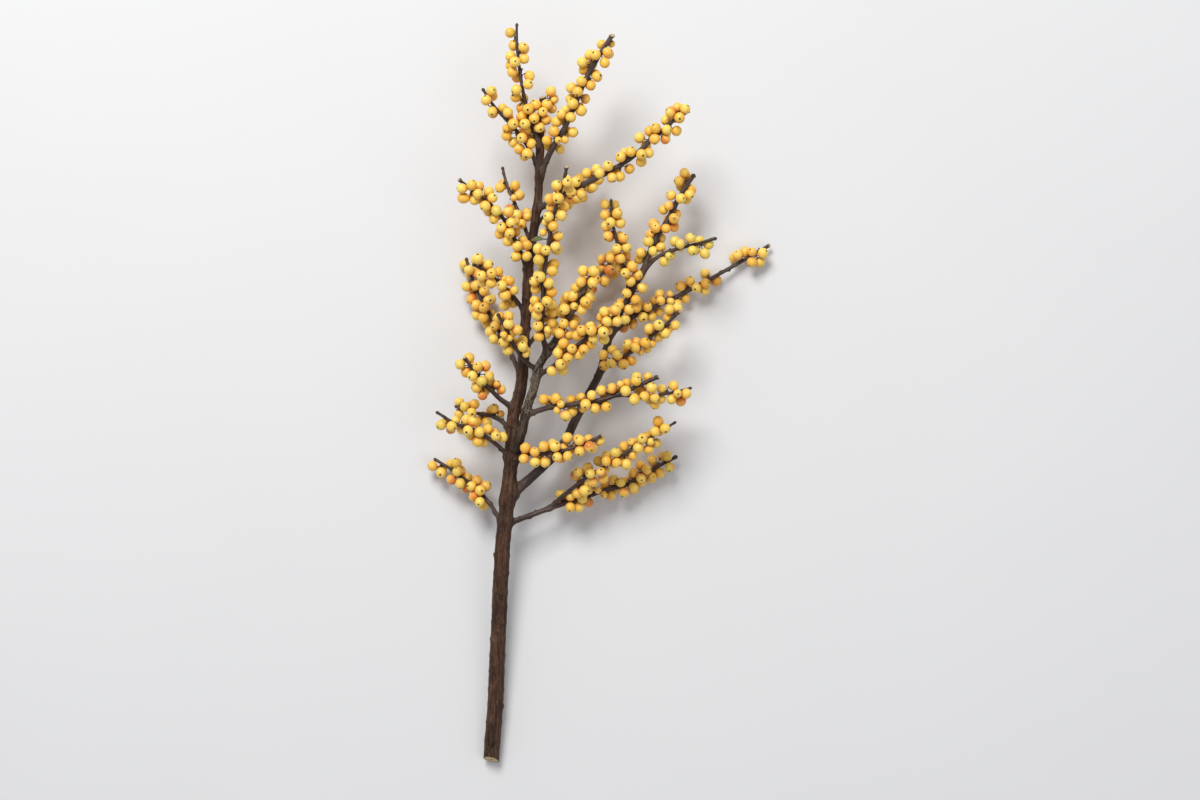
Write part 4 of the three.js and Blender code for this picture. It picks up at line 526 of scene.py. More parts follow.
  2218, -5333, 4567, 510, 108, 2485, -6137, 5381, 551, 109, 2310, -4416, 5012, 508, 109, 3265, -3965, 5042,
  365, 109, 3004, -3982, 5914, 367, 110, 4614, -4700, 5654, 509, 110, 3644, -4572, 6155, 532, 110, 4017,
  -3659, 6476, 503, 110, 4800, -3974, 6173, 391, 111, 4555, -3458, 5038, 505, 111, 5385, -4122, 5325, 507,
  111, 5659, -2932, 5104, 539, 112, 6180, -2715, 6651, 517, 112, 5236, -3009, 6373, 508, 112, 5557, -2080,
  5764, 539, 113, 3146, 7125, 3581, 363, 113, 3168, 7481, 2709, 503, 113, 2294, 6958, 2947, 491, 114, 2898,
  8725, 3412, 518, 114, 2905, 8388, 2423, 481, 114, 3786, 9184, 2907, 525, 115, 4552, 8942, 3537, 491, 115,
  4990, 8000, 2852, 490, 115, 4108, 7951, 3654, 526, 116, 5265, 9559, 1689, 493, 116, 4789, 8459, 2002, 492,
  116, 5710, 8556, 1678, 477, 117, 6812, 9518, 2783, 373, 117, 5843, 9566, 2976, 472, 117, 5748, 10225,
  2260, 504, 117, 6741, 10254, 2444, 356, 118, 8273, 9876, 1164, 509, 118, 7122, 9359, 1251, 528, 118, 7466,
  9257, 2289, 482, 119, 8302, 10877, 908, 519, 119, 8696, 11532, 1840, 497, 119, 7785, 11019, 1902, 522,
  120, 9329, 10842, 2175, 494, 120, 10214, 11279, 2157, 490, 120, 10168, 10600, 1470, 474, 121, 10286,
  11160, 832, 378, 121, 11282, 11652, 474, 558, 121, 10227, 12289, 700, 500, 122, 13330, 14038, 1544, 524,
  122, 13019, 13837, 564, 499, 122, 14082, 14419, 951, 488, 123, 14743, 14336, 1642, 467, 123, 15803, 14234,
  1431, 531, 123, 15534, 13401, 806, 529, 123, 14723, 13358, 1477, 523, 124, 1192, 4816, 4587, 514, 124,
  1663, 4280, 5344, 524, 124, 1076, 3463, 5484, 489, 124, 398, 3291, 4786, 497, 124, 314, 4304, 4769, 517,
  125, 2253, 3404, 5358, 530, 125, 3071, 3724, 4837, 475, 125, 2553, 3869, 4005, 507, 125, 1957, 3400, 4484,
  385, 126, 2648, 5312, 5393, 519, 126, 2631, 4886, 4275, 543, 126, 3471, 5517, 4784, 511, 127, 4507, 4796,
  5656, 381, 127, 3845, 4544, 5527, 338, 127, 3362, 4995, 6069, 508, 127, 4307, 5440, 6320, 523, 128, 4806,
  6467, 5127, 488, 128, 4872, 5400, 5108, 511, 128, 5631, 5996, 5286, 468, 129, 5573, 7103, 6825, 548, 129,
  4705, 6780, 6089, 524, 130, 7164, 7089, 6486, 476, 130, 6593, 6859, 5605, 501, 130, 6233, 6327, 6474, 527,
  131, 6598, 8607, 6600, 495, 131, 6504, 7839, 5757, 490, 131, 7359, 8703, 5898, 542, 132, -3790, 23802,
  7040, 497, 132, -4834, 24089, 7034, 510, 133, -4350, 25320, 8617, 533, 133, -3937, 24485, 8809, 343, 133,
  -5008, 24534, 7943, 512, 134, -2520, 25254, 8420, 506, 134, -3069, 25411, 7383, 532, 134, -3305, 24531,
  8441, 385, 135, -3336, 26390, 7554, 492, 135, -3228, 27353, 8101, 501, 135, -3602, 26907, 8934, 499, 135,
  -4109, 26268, 8223, 519, 136, -2570, 27811, 9664, 555, 136, -1784, 27211, 9141, 534, 136, -2742, 26563,
  9388, 527, 137, -1388, 28425, 8298, 490, 137, -2059, 29168, 8325, 510, 137, -2782, 28461, 8167, 512, 137,
  -1973, 27610, 8181, 517, 138, -2082, 28935, 9883, 496, 138, -2679, 29380, 9129, 524, 138, -1742, 29894,
  9929, 521, 139, -414, 30680, 8659, 518, 139, -944, 29730, 8494, 508, 139, -859, 29526, 9577, 492, 139,
  -267, 30355, 9684, 525, 140, -752, 31646, 8554, 506, 140, -948, 32432, 9447, 536, 140, -1676, 31709, 9684,
  514, 140, -1536, 31092, 8882, 506, 141, 443, 31627, 9959, 505, 141, -420, 32320, 10348, 509, 141, 710,
  32588, 10029, 494, 142, 150, 33505, 8723, 484, 142, 814, 32581, 9019, 517, 142, 1059, 33538, 8977, 374,
  143, -5184, 6297, 4080, 490, 143, -4238, 6544, 4318, 497, 143, -4473, 7156, 3522, 532, 144, -4352, 8760,
  3562, 499, 144, -4722, 8773, 4508, 515, 144, -5266, 7983, 4135, 504, 144, -4928, 8028, 3161, 513, 145,
  -2774, 8702, 4068, 523, 145, -3048, 7926, 3689, 381, 145, -3757, 8383, 4520, 520, 146, -2484, 9457, 2458,
  497, 146, -3395, 9610, 2905, 527, 146, -2994, 8392, 2916, 518, 147, -1892, 10875, 3416, 532, 147, -1078,
  10108, 3497, 532, 147, -1827, 9470, 3904, 530, 147, -2745, 10058, 3590, 513, 148, -764, 10750, 1929, 499,
  148, -1687, 10275, 1968, 538, 148, -875, 9832, 2508, 512, 149, -1269, 11514, 2339, 499, 149, -518, 12363,
  2495, 500, 149, -422, 11600, 3178, 507, 150, 895, 12501, 3055, 530, 150, 1285, 12220, 1996, 537, 150, 442,
  11449, 2618, 530, 151, 973, 13993, 1633, 500, 151, 163, 13614, 2079, 487, 151, 210, 12728, 1572, 532, 151,
  1192, 12999, 1264, 530, 152, -8112, 5462, 3722, 492, 152, -8560, 6370, 3500, 481, 152, -8854, 5968, 2616,
  467, 152, -8364, 5139, 2803, 512, 153, -10247, 5857, 3412, 499, 153, -9549, 5611, 2832, 339, 153, -9875,
  5825, 2059, 525, 153, -10561, 6573, 2742, 529, 154, -9517, 7627, 2452, 365, 154, -9076, 7152, 3119, 528,
  154, -10082, 7145, 3466, 506, 154, -10044, 7841, 2945, 358, 155, -10961, 7433, 1593, 516, 155, -9944,
  7142, 1833, 524, 155, -9705, 8100, 1618, 484, 155, -10608, 8343, 1314, 497, 156, -11177, 8921, 2913, 515,
  156, -11251, 7940, 2472, 535, 156, -11946, 8222, 1711, 530, 156, -11919, 9176, 2198, 539, 157, -10811,
  9622, 2275, 500, 157, -11223, 10515, 2296, 479, 157, -11303, 10610, 1055, 542, 157, -10533, 9780, 1319,
  506, 158, -12442, 9815, 1316, 532, 158, -12338, 10736, 835, 510, 159, -12669, 12566, 1966, 505, 159,
  -11783, 12198, 1640, 507, 159, -12029, 11084, 2165, 511, 159, -12937, 10999, 1652, 525, 160, -12070,
  12789, 1077, 353, 160, -13175, 13160, 451, 532, 160, -12704, 12295, 658, 472, 161, -9209, 9969, 7174, 492,
  161, -9027, 8982, 6912, 537, 161, -8281, 9230, 6227, 504, 161, -8570, 10200, 6335, 512, 162, -8937, 9874,
  8174, 544, 162, -9263, 10783, 8656, 515, 162, -8551, 11254, 8087, 509, 162, -8128, 10375, 7834, 464, 163,
  -10301, 11278, 7354, 507, 163, -9116, 11449, 7418, 384, 163, -9641, 12131, 7741, 506, 164, -11130, 11686,
  8966, 502, 164, -10175, 11920, 9197, 506, 164, -10279, 11013, 8581, 527, 164, -11116, 11166, 7972, 517,
  165, -10932, 12673, 7887, 493, 165, -10521, 12785, 8830, 490, 165, -11471, 13273, 9118, 526, 165, -11728,
  13206, 8132, 494, 166, -4473, 17335, 6060, 515, 166, -3818, 18098, 5918, 499, 166, -3865, 17785, 4958,
  486, 166, -4673, 17175, 5042, 526, 167, -3788, 18850, 4235, 366, 167, -4186, 19447, 5032, 535, 167, -4521,
  18414, 4519, 522, 168, -3044, 18680, 5515, 524, 168, -3260, 19712, 5480, 522, 168, -2237, 19235, 4992,
  508, 169, -2378, 19099, 4136, 365, 169, -1683, 19495, 3683, 521, 169, -2330, 20353, 3555, 496, 169, -2848,
  19734, 3974, 343, 170, -1659, 20342, 4874, 489, 170, -2000, 21186, 4067, 531, 171, -384, 21156, 3202, 507,
  171, -893, 20297, 4224, 512, 171, -128, 21141, 4189, 511, 172, -7511, 26269, 6864, 466, 172, -7418, 26822,
  7680, 523, 172, -7089, 26054, 8319, 528, 173, -6222, 26615, 8161, 516, 173, -6781, 27455, 8428, 526, 173,
  -6534, 27729, 6645, 513, 174, -7265, 28647, 6725, 485, 174, -7974, 28660, 7581, 506, 174, -7490, 27714,
  6959, 492, 175, -6788, 29791, 8322, 506, 175, -7896, 29271, 8416, 527, 176, -7887, 30599, 7150, 528, 176,
  -6671, 30649, 7750, 527, 177, -8272, 30990, 8050, 521, 177, -8474, 31707, 7339, 507, 177, -8457, 32488,
  8044, 530, 177, -8000, 31842, 8847, 530, 178, -7185, 33201, 7706, 523, 178, -7158, 32191, 8368, 495, 178,
  -7204, 33233, 8741, 504, 179, -8485, 34712, 7992, 514, 179, -8164, 33580, 7522, 537, 180, -11259, -10202,
  2775, 493, 180, -11815, -9621, 2232, 474, 180, -12172, -9273, 3095, 512, 180, -11536, -9805, 3706, 508,
  181, -11509, -8693, 3690, 513, 181, -12353, -8303, 3305, 492, 181, -11867, -7753, 2583, 516, 181, -10991,
  -8288, 2861, 543, 182, -12054, -8134, 1660, 495, 182, -12837, -7549, 1480, 495, 182, -13006, -8538, 1764,
  504, 183, -13490, -8055, 2524, 513, 183, -14391, -7710, 2115, 529, 183, -13775, -6902, 2601, 500, 184,
  -13576, -6866, 1183, 551, 184, -13903, -6109, 1951, 528, 184, -14490, -6239, 1008, 511, 185, -15372,
  -7039, 1823, 526, 185, -15364, -6738, 833, 506, 185, -16236, -6391, 1475, 517, 186, -3492, 18973, 6962,
  479, 186, -2761, 19677, 7164, 553, 186, -3848, 20025, 7393, 493, 187, -2290, 20512, 9090, 521, 187, -2698,
  19541, 9120, 503, 187, -3756, 19992, 8392, 506, 187, -3114, 20749, 8541, 496, 188, -683, 20148, 8156, 514,
  188, -1768, 19411, 8714, 516, 189, -430, 21074, 7881, 480, 189, -317, 21760, 8718, 499, 189, -1249, 21386,
  8416, 513, 190, -53, 21288, 9571, 506, 190, 749, 21963, 9681, 518, 190, 1119, 20884, 9456, 498, 191, 1510,
  21777, 8095, 500, 191, 1878, 21051, 8818, 503, 191, 2784, 21808, 8462, 503, 191, 2191, 22546, 8362, 344,
  192, 2889, 23301, 9826, 524, 192, 1926, 22805, 9664, 522, 192, 2365, 23292, 8719, 497, 193, 4584, 23243,
  9066, 510, 193, 3886, 22429, 9050, 521, 193, 3898, 23023, 9933, 523, 194, 4327, 23916, 8324, 520, 194,
  5078, 24724, 8303, 542, 194, 4646, 25301, 9156, 512, 194, 3741, 24692, 8805, 536, 195, 5130, 24460, 9862,
  515, 195, 5214, 25483, 10004, 519, 195, 6260, 25350, 9874, 496, 195, 6155, 24526, 9316, 503, 196, 7220,
  25376, 8555, 513, 196, 7198, 26638, 8430, 521, 196, 6206, 26439, 8265, 502, 196, 6216, 25192, 8555, 506,
  197, 6616, 27044, 9668, 542, 197, 7283, 27518, 8988, 520, 197, 7992, 27317, 9736, 506, 197, 7466, 26462,
  9936, 516, 198, -7191, 23153, 6725, 482, 198, -7641, 23780, 7393, 537, 198, -6859, 23282, 7945, 540, 199,
  -7034, 25530, 7378, 509, 199, -6501, 24240, 7824, 484, 199, -7364, 24744, 8204, 508, 200, -8577, 25824,
  6724, 507, 200, -8868, 25059, 7362, 529, 200, -8214, 24450, 6801, 524, 200, -7599, 25296, 6582, 491, 201,
  -8702, 27164, 8041, 498, 201, -8183, 26062, 8353, 522, 201, -8894, 25679, 8000, 358, 202, -9234, 27629,
  7269, 494, 202, -8706, 26833, 6907, 526, 203, -10170, 27239, 8343, 480, 203, -10158, 27200, 7090, 501,
  203, -10750, 28289, 8450, 527, 204, -10238, 29166, 8278, 499, 204, -10220, 28849, 7071, 517, 205, -10649,
  -2785, 6369, 508, 205, -10044, -3200, 5678, 498, 205, -9266, -3539, 6236, 516, 205, -9872, -3398, 7044,
  501, 206, -11612, -3966, 7108, 530, 206, -11079, -4018, 6171, 495, 206, -11469, -3141, 5884, 504, 206,
  -12276, -3330, 6574, 531, 207, -12477, -2906, 7996, 509, 207, -12020, -2040, 7668, 520, 207, -11408,
  -3036, 7585, 530, 208, -13762, -2013, 6779, 488, 208, -13144, -2743, 6399, 530, 208, -12690, -1917, 6875,
  524, 209, -14127, -2791, 7223, 476, 209, -14864, -2208, 7086, 472, 209, -15022, -2372, 8046, 513, 209,
  -14019, -2487, 8203, 507, 210, 6530, 13695, 6519, 369, 210, 6146, 13185, 5797, 502, 211, 6752, 13849,
  5336, 503, 211, 7673, 14478, 5550, 373, 211, 7146, 15104, 5935, 529, 212, 8771, 14178, 6917, 491, 212,
  7611, 14819, 6806, 493, 212, 8594, 15377, 6975, 515, 213, 9515, 15157, 5405, 520, 213, 9059, 14272, 5972,
  496, 213, 9981, 13936, 6189, 507, 213, 10356, 14816, 5867, 496, 214, 3567, 11954, 5543, 535, 214, 2876,
  11312, 6102, 513, 214, 2423, 12058, 6647, 511, 214, 3067, 12718, 6128, 545, 215, 2859, 12915, 5092, 525,
  215, 2517, 13774, 5460, 468, 215, 1503, 13720, 5343, 543, 215, 1815, 12707, 5134, 536, 216, 1923, 13425,
  6775, 508, 216, 1053, 13520, 6267, 502, 216, 1586, 14349, 7043, 510, 217, 2208, 15377, 6990, 506, 217,
  1904, 15594, 5992, 498, 217, 2170, 14648, 5715, 504, 217, 2506, 14482, 6647, 496, 218, 767, 15539, 6975,
  512, 218, 873, 15560, 5922, 531, 218, 588, 16491, 6618, 511, 219, 995, 16808, 7495, 501, 219, 1637, 17671,
  7458, 526, 219, 1920, 16801, 6895, 539, 220, 1529, 17433, 6162, 500, 220, 1383, 18555, 6054, 475, 220,
  489, 18616, 6444, 497, 220, 509, 17589, 6406, 530,
]

# The withered leaf: foot (mm), the way its blade points, the way its face looks.
LEAF = ([-49.378, 149.598, 120.136], [-0.955, -0.0126, -0.2965], [-0.2475, 0.5852, 0.7722])

# ------------------------------------------------------------ repeatable noise

def lattice(ix, iy, iz, seed):
    h = (ix * 374761393 + iy * 668265263 + iz * 1440662683 + seed * 1274126177) & 0xFFFFFFFF
    h = ((h ^ (h >> 13)) * 1274126177) & 0xFFFFFFFF
    h = h ^ (h >> 16)
    return (h & 0xFFFFFF) / 0xFFFFFF * 2.0 - 1.0


def noise(p, seed=0):
    """Smooth noise from -1 to 1 at points p (n, 3), one bump a unit."""
    p = np.asarray(p, float)
    i = np.floor(p).astype(np.int64)
    f = p - i
    u = f * f * f * (f * (f * 6 - 15) + 10)
    total = np.zeros(len(p))
    for dx in (0, 1):
        wx = u[:, 0] if dx else 1 - u[:, 0]
        for dy in (0, 1):
            wy = u[:, 1] if dy else 1 - u[:, 1]
            for dz in (0, 1):
                wz = u[:, 2] if dz else 1 - u[:, 2]
                total += wx * wy * wz * lattice(i[:, 0] + dx, i[:, 1] + dy, i[:, 2] + dz, seed)
    return total


def unit(v):
    v = np.asarray(v, float)
    return v / np.maximum(np.linalg.norm(v, axis=-1, keepdims=True), 1e-9)


def smooth(lo, hi, x):
    t = np.clip((np.asarray(x, float) - lo) / (hi - lo), 0, 1)
    return t * t * (3 - 2 * t)


# ------------------------------------------------------------------- one mesh

class Cloth:
    """Gathers grids and fans of faces, with their attributes, for one mesh."""

    def __init__(self):
        self.co, self.a, self.b = [], [], []
        self.faces, self.uvs, self.mats, self.count = [], [], [], 0

    def points(self, co, a=None, b=None):
        """Adds vertices with two four-part attributes and returns the first one's index."""
        co = np.asarray(co, float).reshape(-1, 3)
        n = len(co)
        fill = lambda x: np.zeros((n, 4)) if x is None else np.broadcast_to(np.asarray(x, float), (n, 4))
        self.co.append(co)
        self.a.append(fill(a))
        self.b.append(fill(b))
        first, self.count = self.count, self.count + n
        return first

    def quads(self, corners, uv, mat=0):
        """Adds faces (n, 4 or 3) of vertex indices, with their corners' uv (n, 4 or 3, 2)."""
        corners = np.asarray(corners)
        self.faces.append(corners)
        self.uvs.append(np.asarray(uv, float).reshape(corners.shape + (2,)))
        self.mats.append(np.broadcast_to(np.asarray(mat), (len(corners),)))

    def object(self, name, materials):
        me = bpy.data.meshes.new(name)
        co = np.concatenate(self.co) * MM
        sizes = np.concatenate([np.full(len(f), f.shape[1]) for f in self.faces])
        loops = np.concatenate([f.reshape(-1) for f in self.faces])
        uvs = np.concatenate([u.reshape(-1, 2) for u in self.uvs])
        mats = np.concatenate(self.mats)
        starts = np.concatenate([[0], np.cumsum(sizes)[:-1]])
        me.vertices.add(len(co))
        me.vertices.foreach_set("co", co.astype(np.float32).ravel())
        me.loops.add(len(loops))
        me.loops.foreach_set("vertex_index", loops.astype(np.int32))
        me.polygons.add(len(sizes))
        me.polygons.foreach_set("loop_start", starts.astype(np.int32))
        me.polygons.foreach_set("material_index", mats.astype(np.int32))
        me.polygons.foreach_set("use_smooth", np.ones(len(sizes), bool))
        for label, rows in (("tone", self.a), ("place", self.b)):
            layer = me.attributes.new(label, "FLOAT_COLOR", "POINT")
            layer.data.foreach_set("color", np.concatenate(rows).astype(np.float32).ravel())
        layer = me.uv_layers.new(name="OFBake")
        layer.data.foreach_set("uv", uvs.astype(np.float32).ravel())
        me.update(calc_edges=True)
        me.validate()
        for m in materials:
            me.materials.append(m)
        ob = bpy.data.objects.new(name, me)
        bpy.context.scene.collection.objects.link(ob)
        return ob


def ring_quads(first, rings, sides):
    """Corner indices (and their ring and side) of a closed tube's quads, facing out."""
    i, j = np.meshgrid(np.arange(rings - 1), np.arange(sides), indexing="ij")
    i, j = i.ravel(), j.ravel()
    k = (j + 1) % sides
    at = lambda r, s: first + r * sides + s
    corners = np.stack([at(i, j), at(i, k), at(i + 1, k), at(i + 1, j)], 1)
    where = np.stack([np.stack([i, j], 1), np.stack([i, j + 1], 1), np.stack([i + 1, j + 1], 1), np.stack([i + 1, j], 1)], 1)
    return corners, where


# ------------------------------------------------------------- material nodes

class Nodes:
    """A short way to write a node tree."""

    def __init__(self, name):
        self.mat = bpy.data.materials.new(name)
        self.mat.use_nodes = True
        self.tree = self.mat.node_tree
        self.bsdf = next(n for n in self.tree.nodes if n.type == "BSDF_PRINCIPLED")

    def new(self, kind, **settings):
        n = self.tree.nodes.new(kind)
        for k, v in settings.items():
            setattr(n, k, v)
        return n

    def link(self, a, b):
        self.tree.links.new(a, b)

    def put(self, socket, value):
        if hasattr(value, "is_output"):
            self.link(value, socket)
        elif isinstance(value, tuple) and len(value) == 3 and socket.type == "RGBA":
            socket.default_value = (*value, 1)
        else:
            socket.default_value = value

    def attribute(self, name):
        n = self.new("ShaderNodeAttribute", attribute_name=name)
        split = self.new("ShaderNodeSeparateColor")
        self.link(n.outputs["Color"], split.inputs[0])
        return n.outputs["Color"], split.outputs[0], split.outputs[1], split.outputs[2], n.outputs["Alpha"]

    def math(self, op, a, b=0.0, c=None, clamp=False):
        n = self.new("ShaderNodeMath", operation=op, use_clamp=clamp)
        self.put(n.inputs[0], a)
        self.put(n.inputs[1], b)
        if c is not None:
            self.put(n.inputs[2], c)
        return n.outputs[0]

    def vector(self, op, a, b):
        n = self.new("ShaderNodeVectorMath", operation=op)
        self.put(n.inputs[0], a)
        self.put(n.inputs[1], b)
        return n.outputs[0]

    def range(self, value, lo, hi, to_lo=0.0, to_hi=1.0, kind="SMOOTHSTEP"):
        n = self.new("ShaderNodeMapRange", interpolation_type=kind)
        for s, v in zip(n.inputs[:5], (value, lo, hi, to_lo, to_hi)):
            self.put(s, v)
        return n.outputs[0]

    def noise(self, where, scale, detail=3.0, rough=0.55, distortion=0.0):
        n = self.new("ShaderNodeTexNoise")
        self.put(n.inputs["Vector"], where)
        self.put(n.inputs["Scale"], scale)
        self.put(n.inputs["Detail"], detail)
        self.put(n.inputs["Roughness"], rough)
        self.put(n.inputs["Distortion"], distortion)
        return n.outputs[0]

    def voronoi(self, where, scale, feature="F1", randomness=1.0, out="Distance"):
        n = self.new("ShaderNodeTexVoronoi", feature=feature)
        self.put(n.inputs["Vector"], where)
        self.put(n.inputs["Scale"], scale)
        self.put(n.inputs["Randomness"], randomness)
        return n.outputs[out]

    def mix(self, share, a, b, how="MIX"):
        n = self.new("ShaderNodeMix", data_type="RGBA", blend_type=how)
        n.clamp_factor = True
        self.put(n.inputs[0], share)
        self.put(n.inputs[6], a)
        self.put(n.inputs[7], b)
        return n.outputs[2]

    def bump(self, height, strength, distance, normal=None):
        n = self.new("ShaderNodeBump")
        n.inputs["Strength"].default_value = strength
        n.inputs["Distance"].default_value = distance
        self.link(height, n.inputs["Height"])
        if normal is not None:
            self.link(normal, n.inputs["Normal"])
        return n.outputs[0]

    def position(self):
        """The object's own coordinates, in millimetres."""
        n = self.new("ShaderNodeTexCoord")
        return self.scaled(n.outputs["Object"], 1000.0)

    def scaled(self, vector, by):
        n = self.new("ShaderNodeVectorMath", operation="SCALE")
        self.put(n.inputs[0], vector)
        n.inputs[3].default_value = by
        return n.outputs[0]

    def stretched(self, vector, scale):
        n = self.new("ShaderNodeMapping")
        self.put(n.inputs["Vector"], vector)
        n.inputs["Scale"].default_value = scale
        return n.outputs[0]


# ------------------------------------------------------------ the materials

def bark(name, dark, mid, pale, patch, scale, gloss, specular):
    """Bark: lengthwise fibres, dark cracks, scaly pale patches and raised pale pores."""
    n = Nodes(name)
    grain, gx, gy, gz, radius = n.attribute("place")
    _, scar, up, cap, age = n.attribute("tone")
    fibre = n.noise(n.stretched(grain, (1.3, 1.3, 0.10)), 1.0, 5.0, 0.62, 0.5)
    fine = n.noise(n.stretched(grain, (5.0, 5.0, 0.55)), 1.0, 4.0, 0.6)
    broad = n.noise(n.stretched(grain, (0.16, 0.16, 0.045)), 1.0, 3.0, 0.6, 0.6)
    flake = n.noise(n.stretched(grain, (scale, scale, scale * 0.42)), 1.0, 6.0, 0.70, 0.8)
    speck = n.noise(grain, 1.5, 4.0, 0.7)
    tint = n.math("ADD", n.math("MULTIPLY", fibre, 0.55), n.math("MULTIPLY", fine, 0.30))
    tint = n.range(n.math("ADD", tint, n.math("MULTIPLY", broad, 0.35)), 0.46, 0.76)
    colour = n.mix(tint, dark, mid)
    # long streaks, redder and darker
    red = n.range(n.noise(n.stretched(grain, (0.9, 0.9, 0.05)), 1.0, 3.0, 0.6), 0.52, 0.66)
    colour = n.mix(n.math("MULTIPLY", red, 0.5), colour, (dark[0] * 2.6, dark[1] * 1.7, dark[2] * 1.5))
    band = n.noise(n.stretched(grain, (0.42, 0.42, 0.022)), 1.0, 3.0, 0.6)
    colour = n.mix(n.range(band, 0.50, 0.62, 0.0, 0.55), colour, dark)
    colour = n.mix(n.range(band, 0.36, 0.47, 0.42, 0.0), colour, (mid[0] * 1.35, mid[1] * 1.25, mid[2] * 1.15))
    # pale grey scales with broken edges
    grey = n.math("ADD", n.math("MULTIPLY", flake, 0.75), n.math("MULTIPLY", speck, 0.35))
    grey = n.math("ADD", grey, n.math("MULTIPLY", broad, 0.22))
    grey = n.math("MULTIPLY", n.range(grey, patch - 0.03, patch + 0.07), n.range(age, 0.0, 1.0))
    colour = n.mix(n.math("MULTIPLY", grey, 0.8), colour, pale)
    # cracks between the fibres
    crack = n.range(n.math("ADD", n.math("MULTIPLY", fibre, 0.8), n.math("MULTIPLY", speck, 0.2)), 0.36, 0.47, 1.0, 0.0)
    colour = n.mix(n.math("MULTIPLY", crack, 0.75), colour, (dark[0] * 0.45, dark[1] * 0.45, dark[2] * 0.45))
    # leaf scars are darker
    colour = n.mix(n.range(scar, 0.25, 0.8, 0.0, 0.6), colour, dark)
    # pores, wider than long
    pore = n.voronoi(n.stretched(grain, (0.30, 0.30, 0.24)), 1.0)
    size = n.math("MULTIPLY", n.range(speck, 0.35, 0.65), 0.06)
    dots = n.range(n.math("SUBTRACT", pore, size), 0.03, 0.09, 1.0, 0.0)
    colour = n.mix(n.math("MULTIPLY", dots, 0.62), colour, (pale[0] * 1.25, pale[1] * 1.2, pale[2] * 1.12))
    n.link(colour, n.bsdf.inputs["Base Color"])
    rough = n.math("ADD", n.range(fine, 0.3, 0.75, 0.52 - gloss, 0.76 - gloss), n.math("MULTIPLY", grey, 0.12))
    n.link(rough, n.bsdf.inputs["Roughness"])
    height = n.math("ADD", n.math("MULTIPLY", fibre, 0.9), n.math("MULTIPLY", fine, 0.35))
    height = n.math("ADD", height, n.math("MULTIPLY", grey, 0.22))
    height = n.math("SUBTRACT", height, n.math("MULTIPLY", crack, 0.30))
    height = n.math("ADD", height, n.math("MULTIPLY", dots, 0.45))
    n.link(n.bump(height, 0.55, 0.0006), n.bsdf.inputs["Normal"])
    n.bsdf.inputs["Specular IOR Level"].default_value = specular
    return n.mat


BARK_TRUNK = bark("bark_trunk", (0.0125, 0.0055, 0.0032), (0.118, 0.053, 0.0270), (0.150, 0.112, 0.082), 0.735, 0.5, 0.0, 0.25)
BARK_GREY = bark("bark_grey", (0.014, 0.0075, 0.0045), (0.060, 0.038, 0.025), (0.205, 0.168, 0.130), 0.640, 0.60, 0.0, 0.22)
BARK_TWIG = bark("bark_twig", (0.024, 0.0138, 0.0115), (0.099, 0.064, 0.053), (0.150, 0.118, 0.102), 0.745, 0.9, 0.08, 0.40)


def cut_wood():
    n = Nodes("cut_wood")
    _, _, _, cap, _ = n.attribute("tone")
    where = n.position()
    ring = n.math("SINE", n.math("ADD", n.math("MULTIPLY", cap, 21.0), n.math("MULTIPLY", n.noise(where, 0.6), 3.0)))
    colour = n.mix(n.range(ring, -0.4, 1.0, 0.0, 0.5), (0.62, 0.46, 0.27), (0.43, 0.28, 0.145))
    colour = n.mix(n.range(n.noise(where, 2.4, 4.0, 0.65), 0.45, 0.75, 0.0, 0.6), colour, (0.30, 0.19, 0.10))
    colour = n.mix(n.range(cap, 0.10, 0.2, 1.0, 0.0), colour, (0.13, 0.07, 0.035))
    colour = n.mix(n.range(cap, 0.80, 0.88), colour, (0.30, 0.30, 0.11))
    colour = n.mix(n.range(cap, 0.9, 0.97), colour, (0.05, 0.03, 0.02))
    n.link(colour, n.bsdf.inputs["Base Color"])
    n.bsdf.inputs["Roughness"].default_value = 0.72
    n.link(n.bump(n.math("ADD", ring, n.noise(where, 5.0, 3.0)), 0.35, 0.0003), n.bsdf.inputs["Normal"])
    return n.mat


CUT_WOOD = cut_wood()


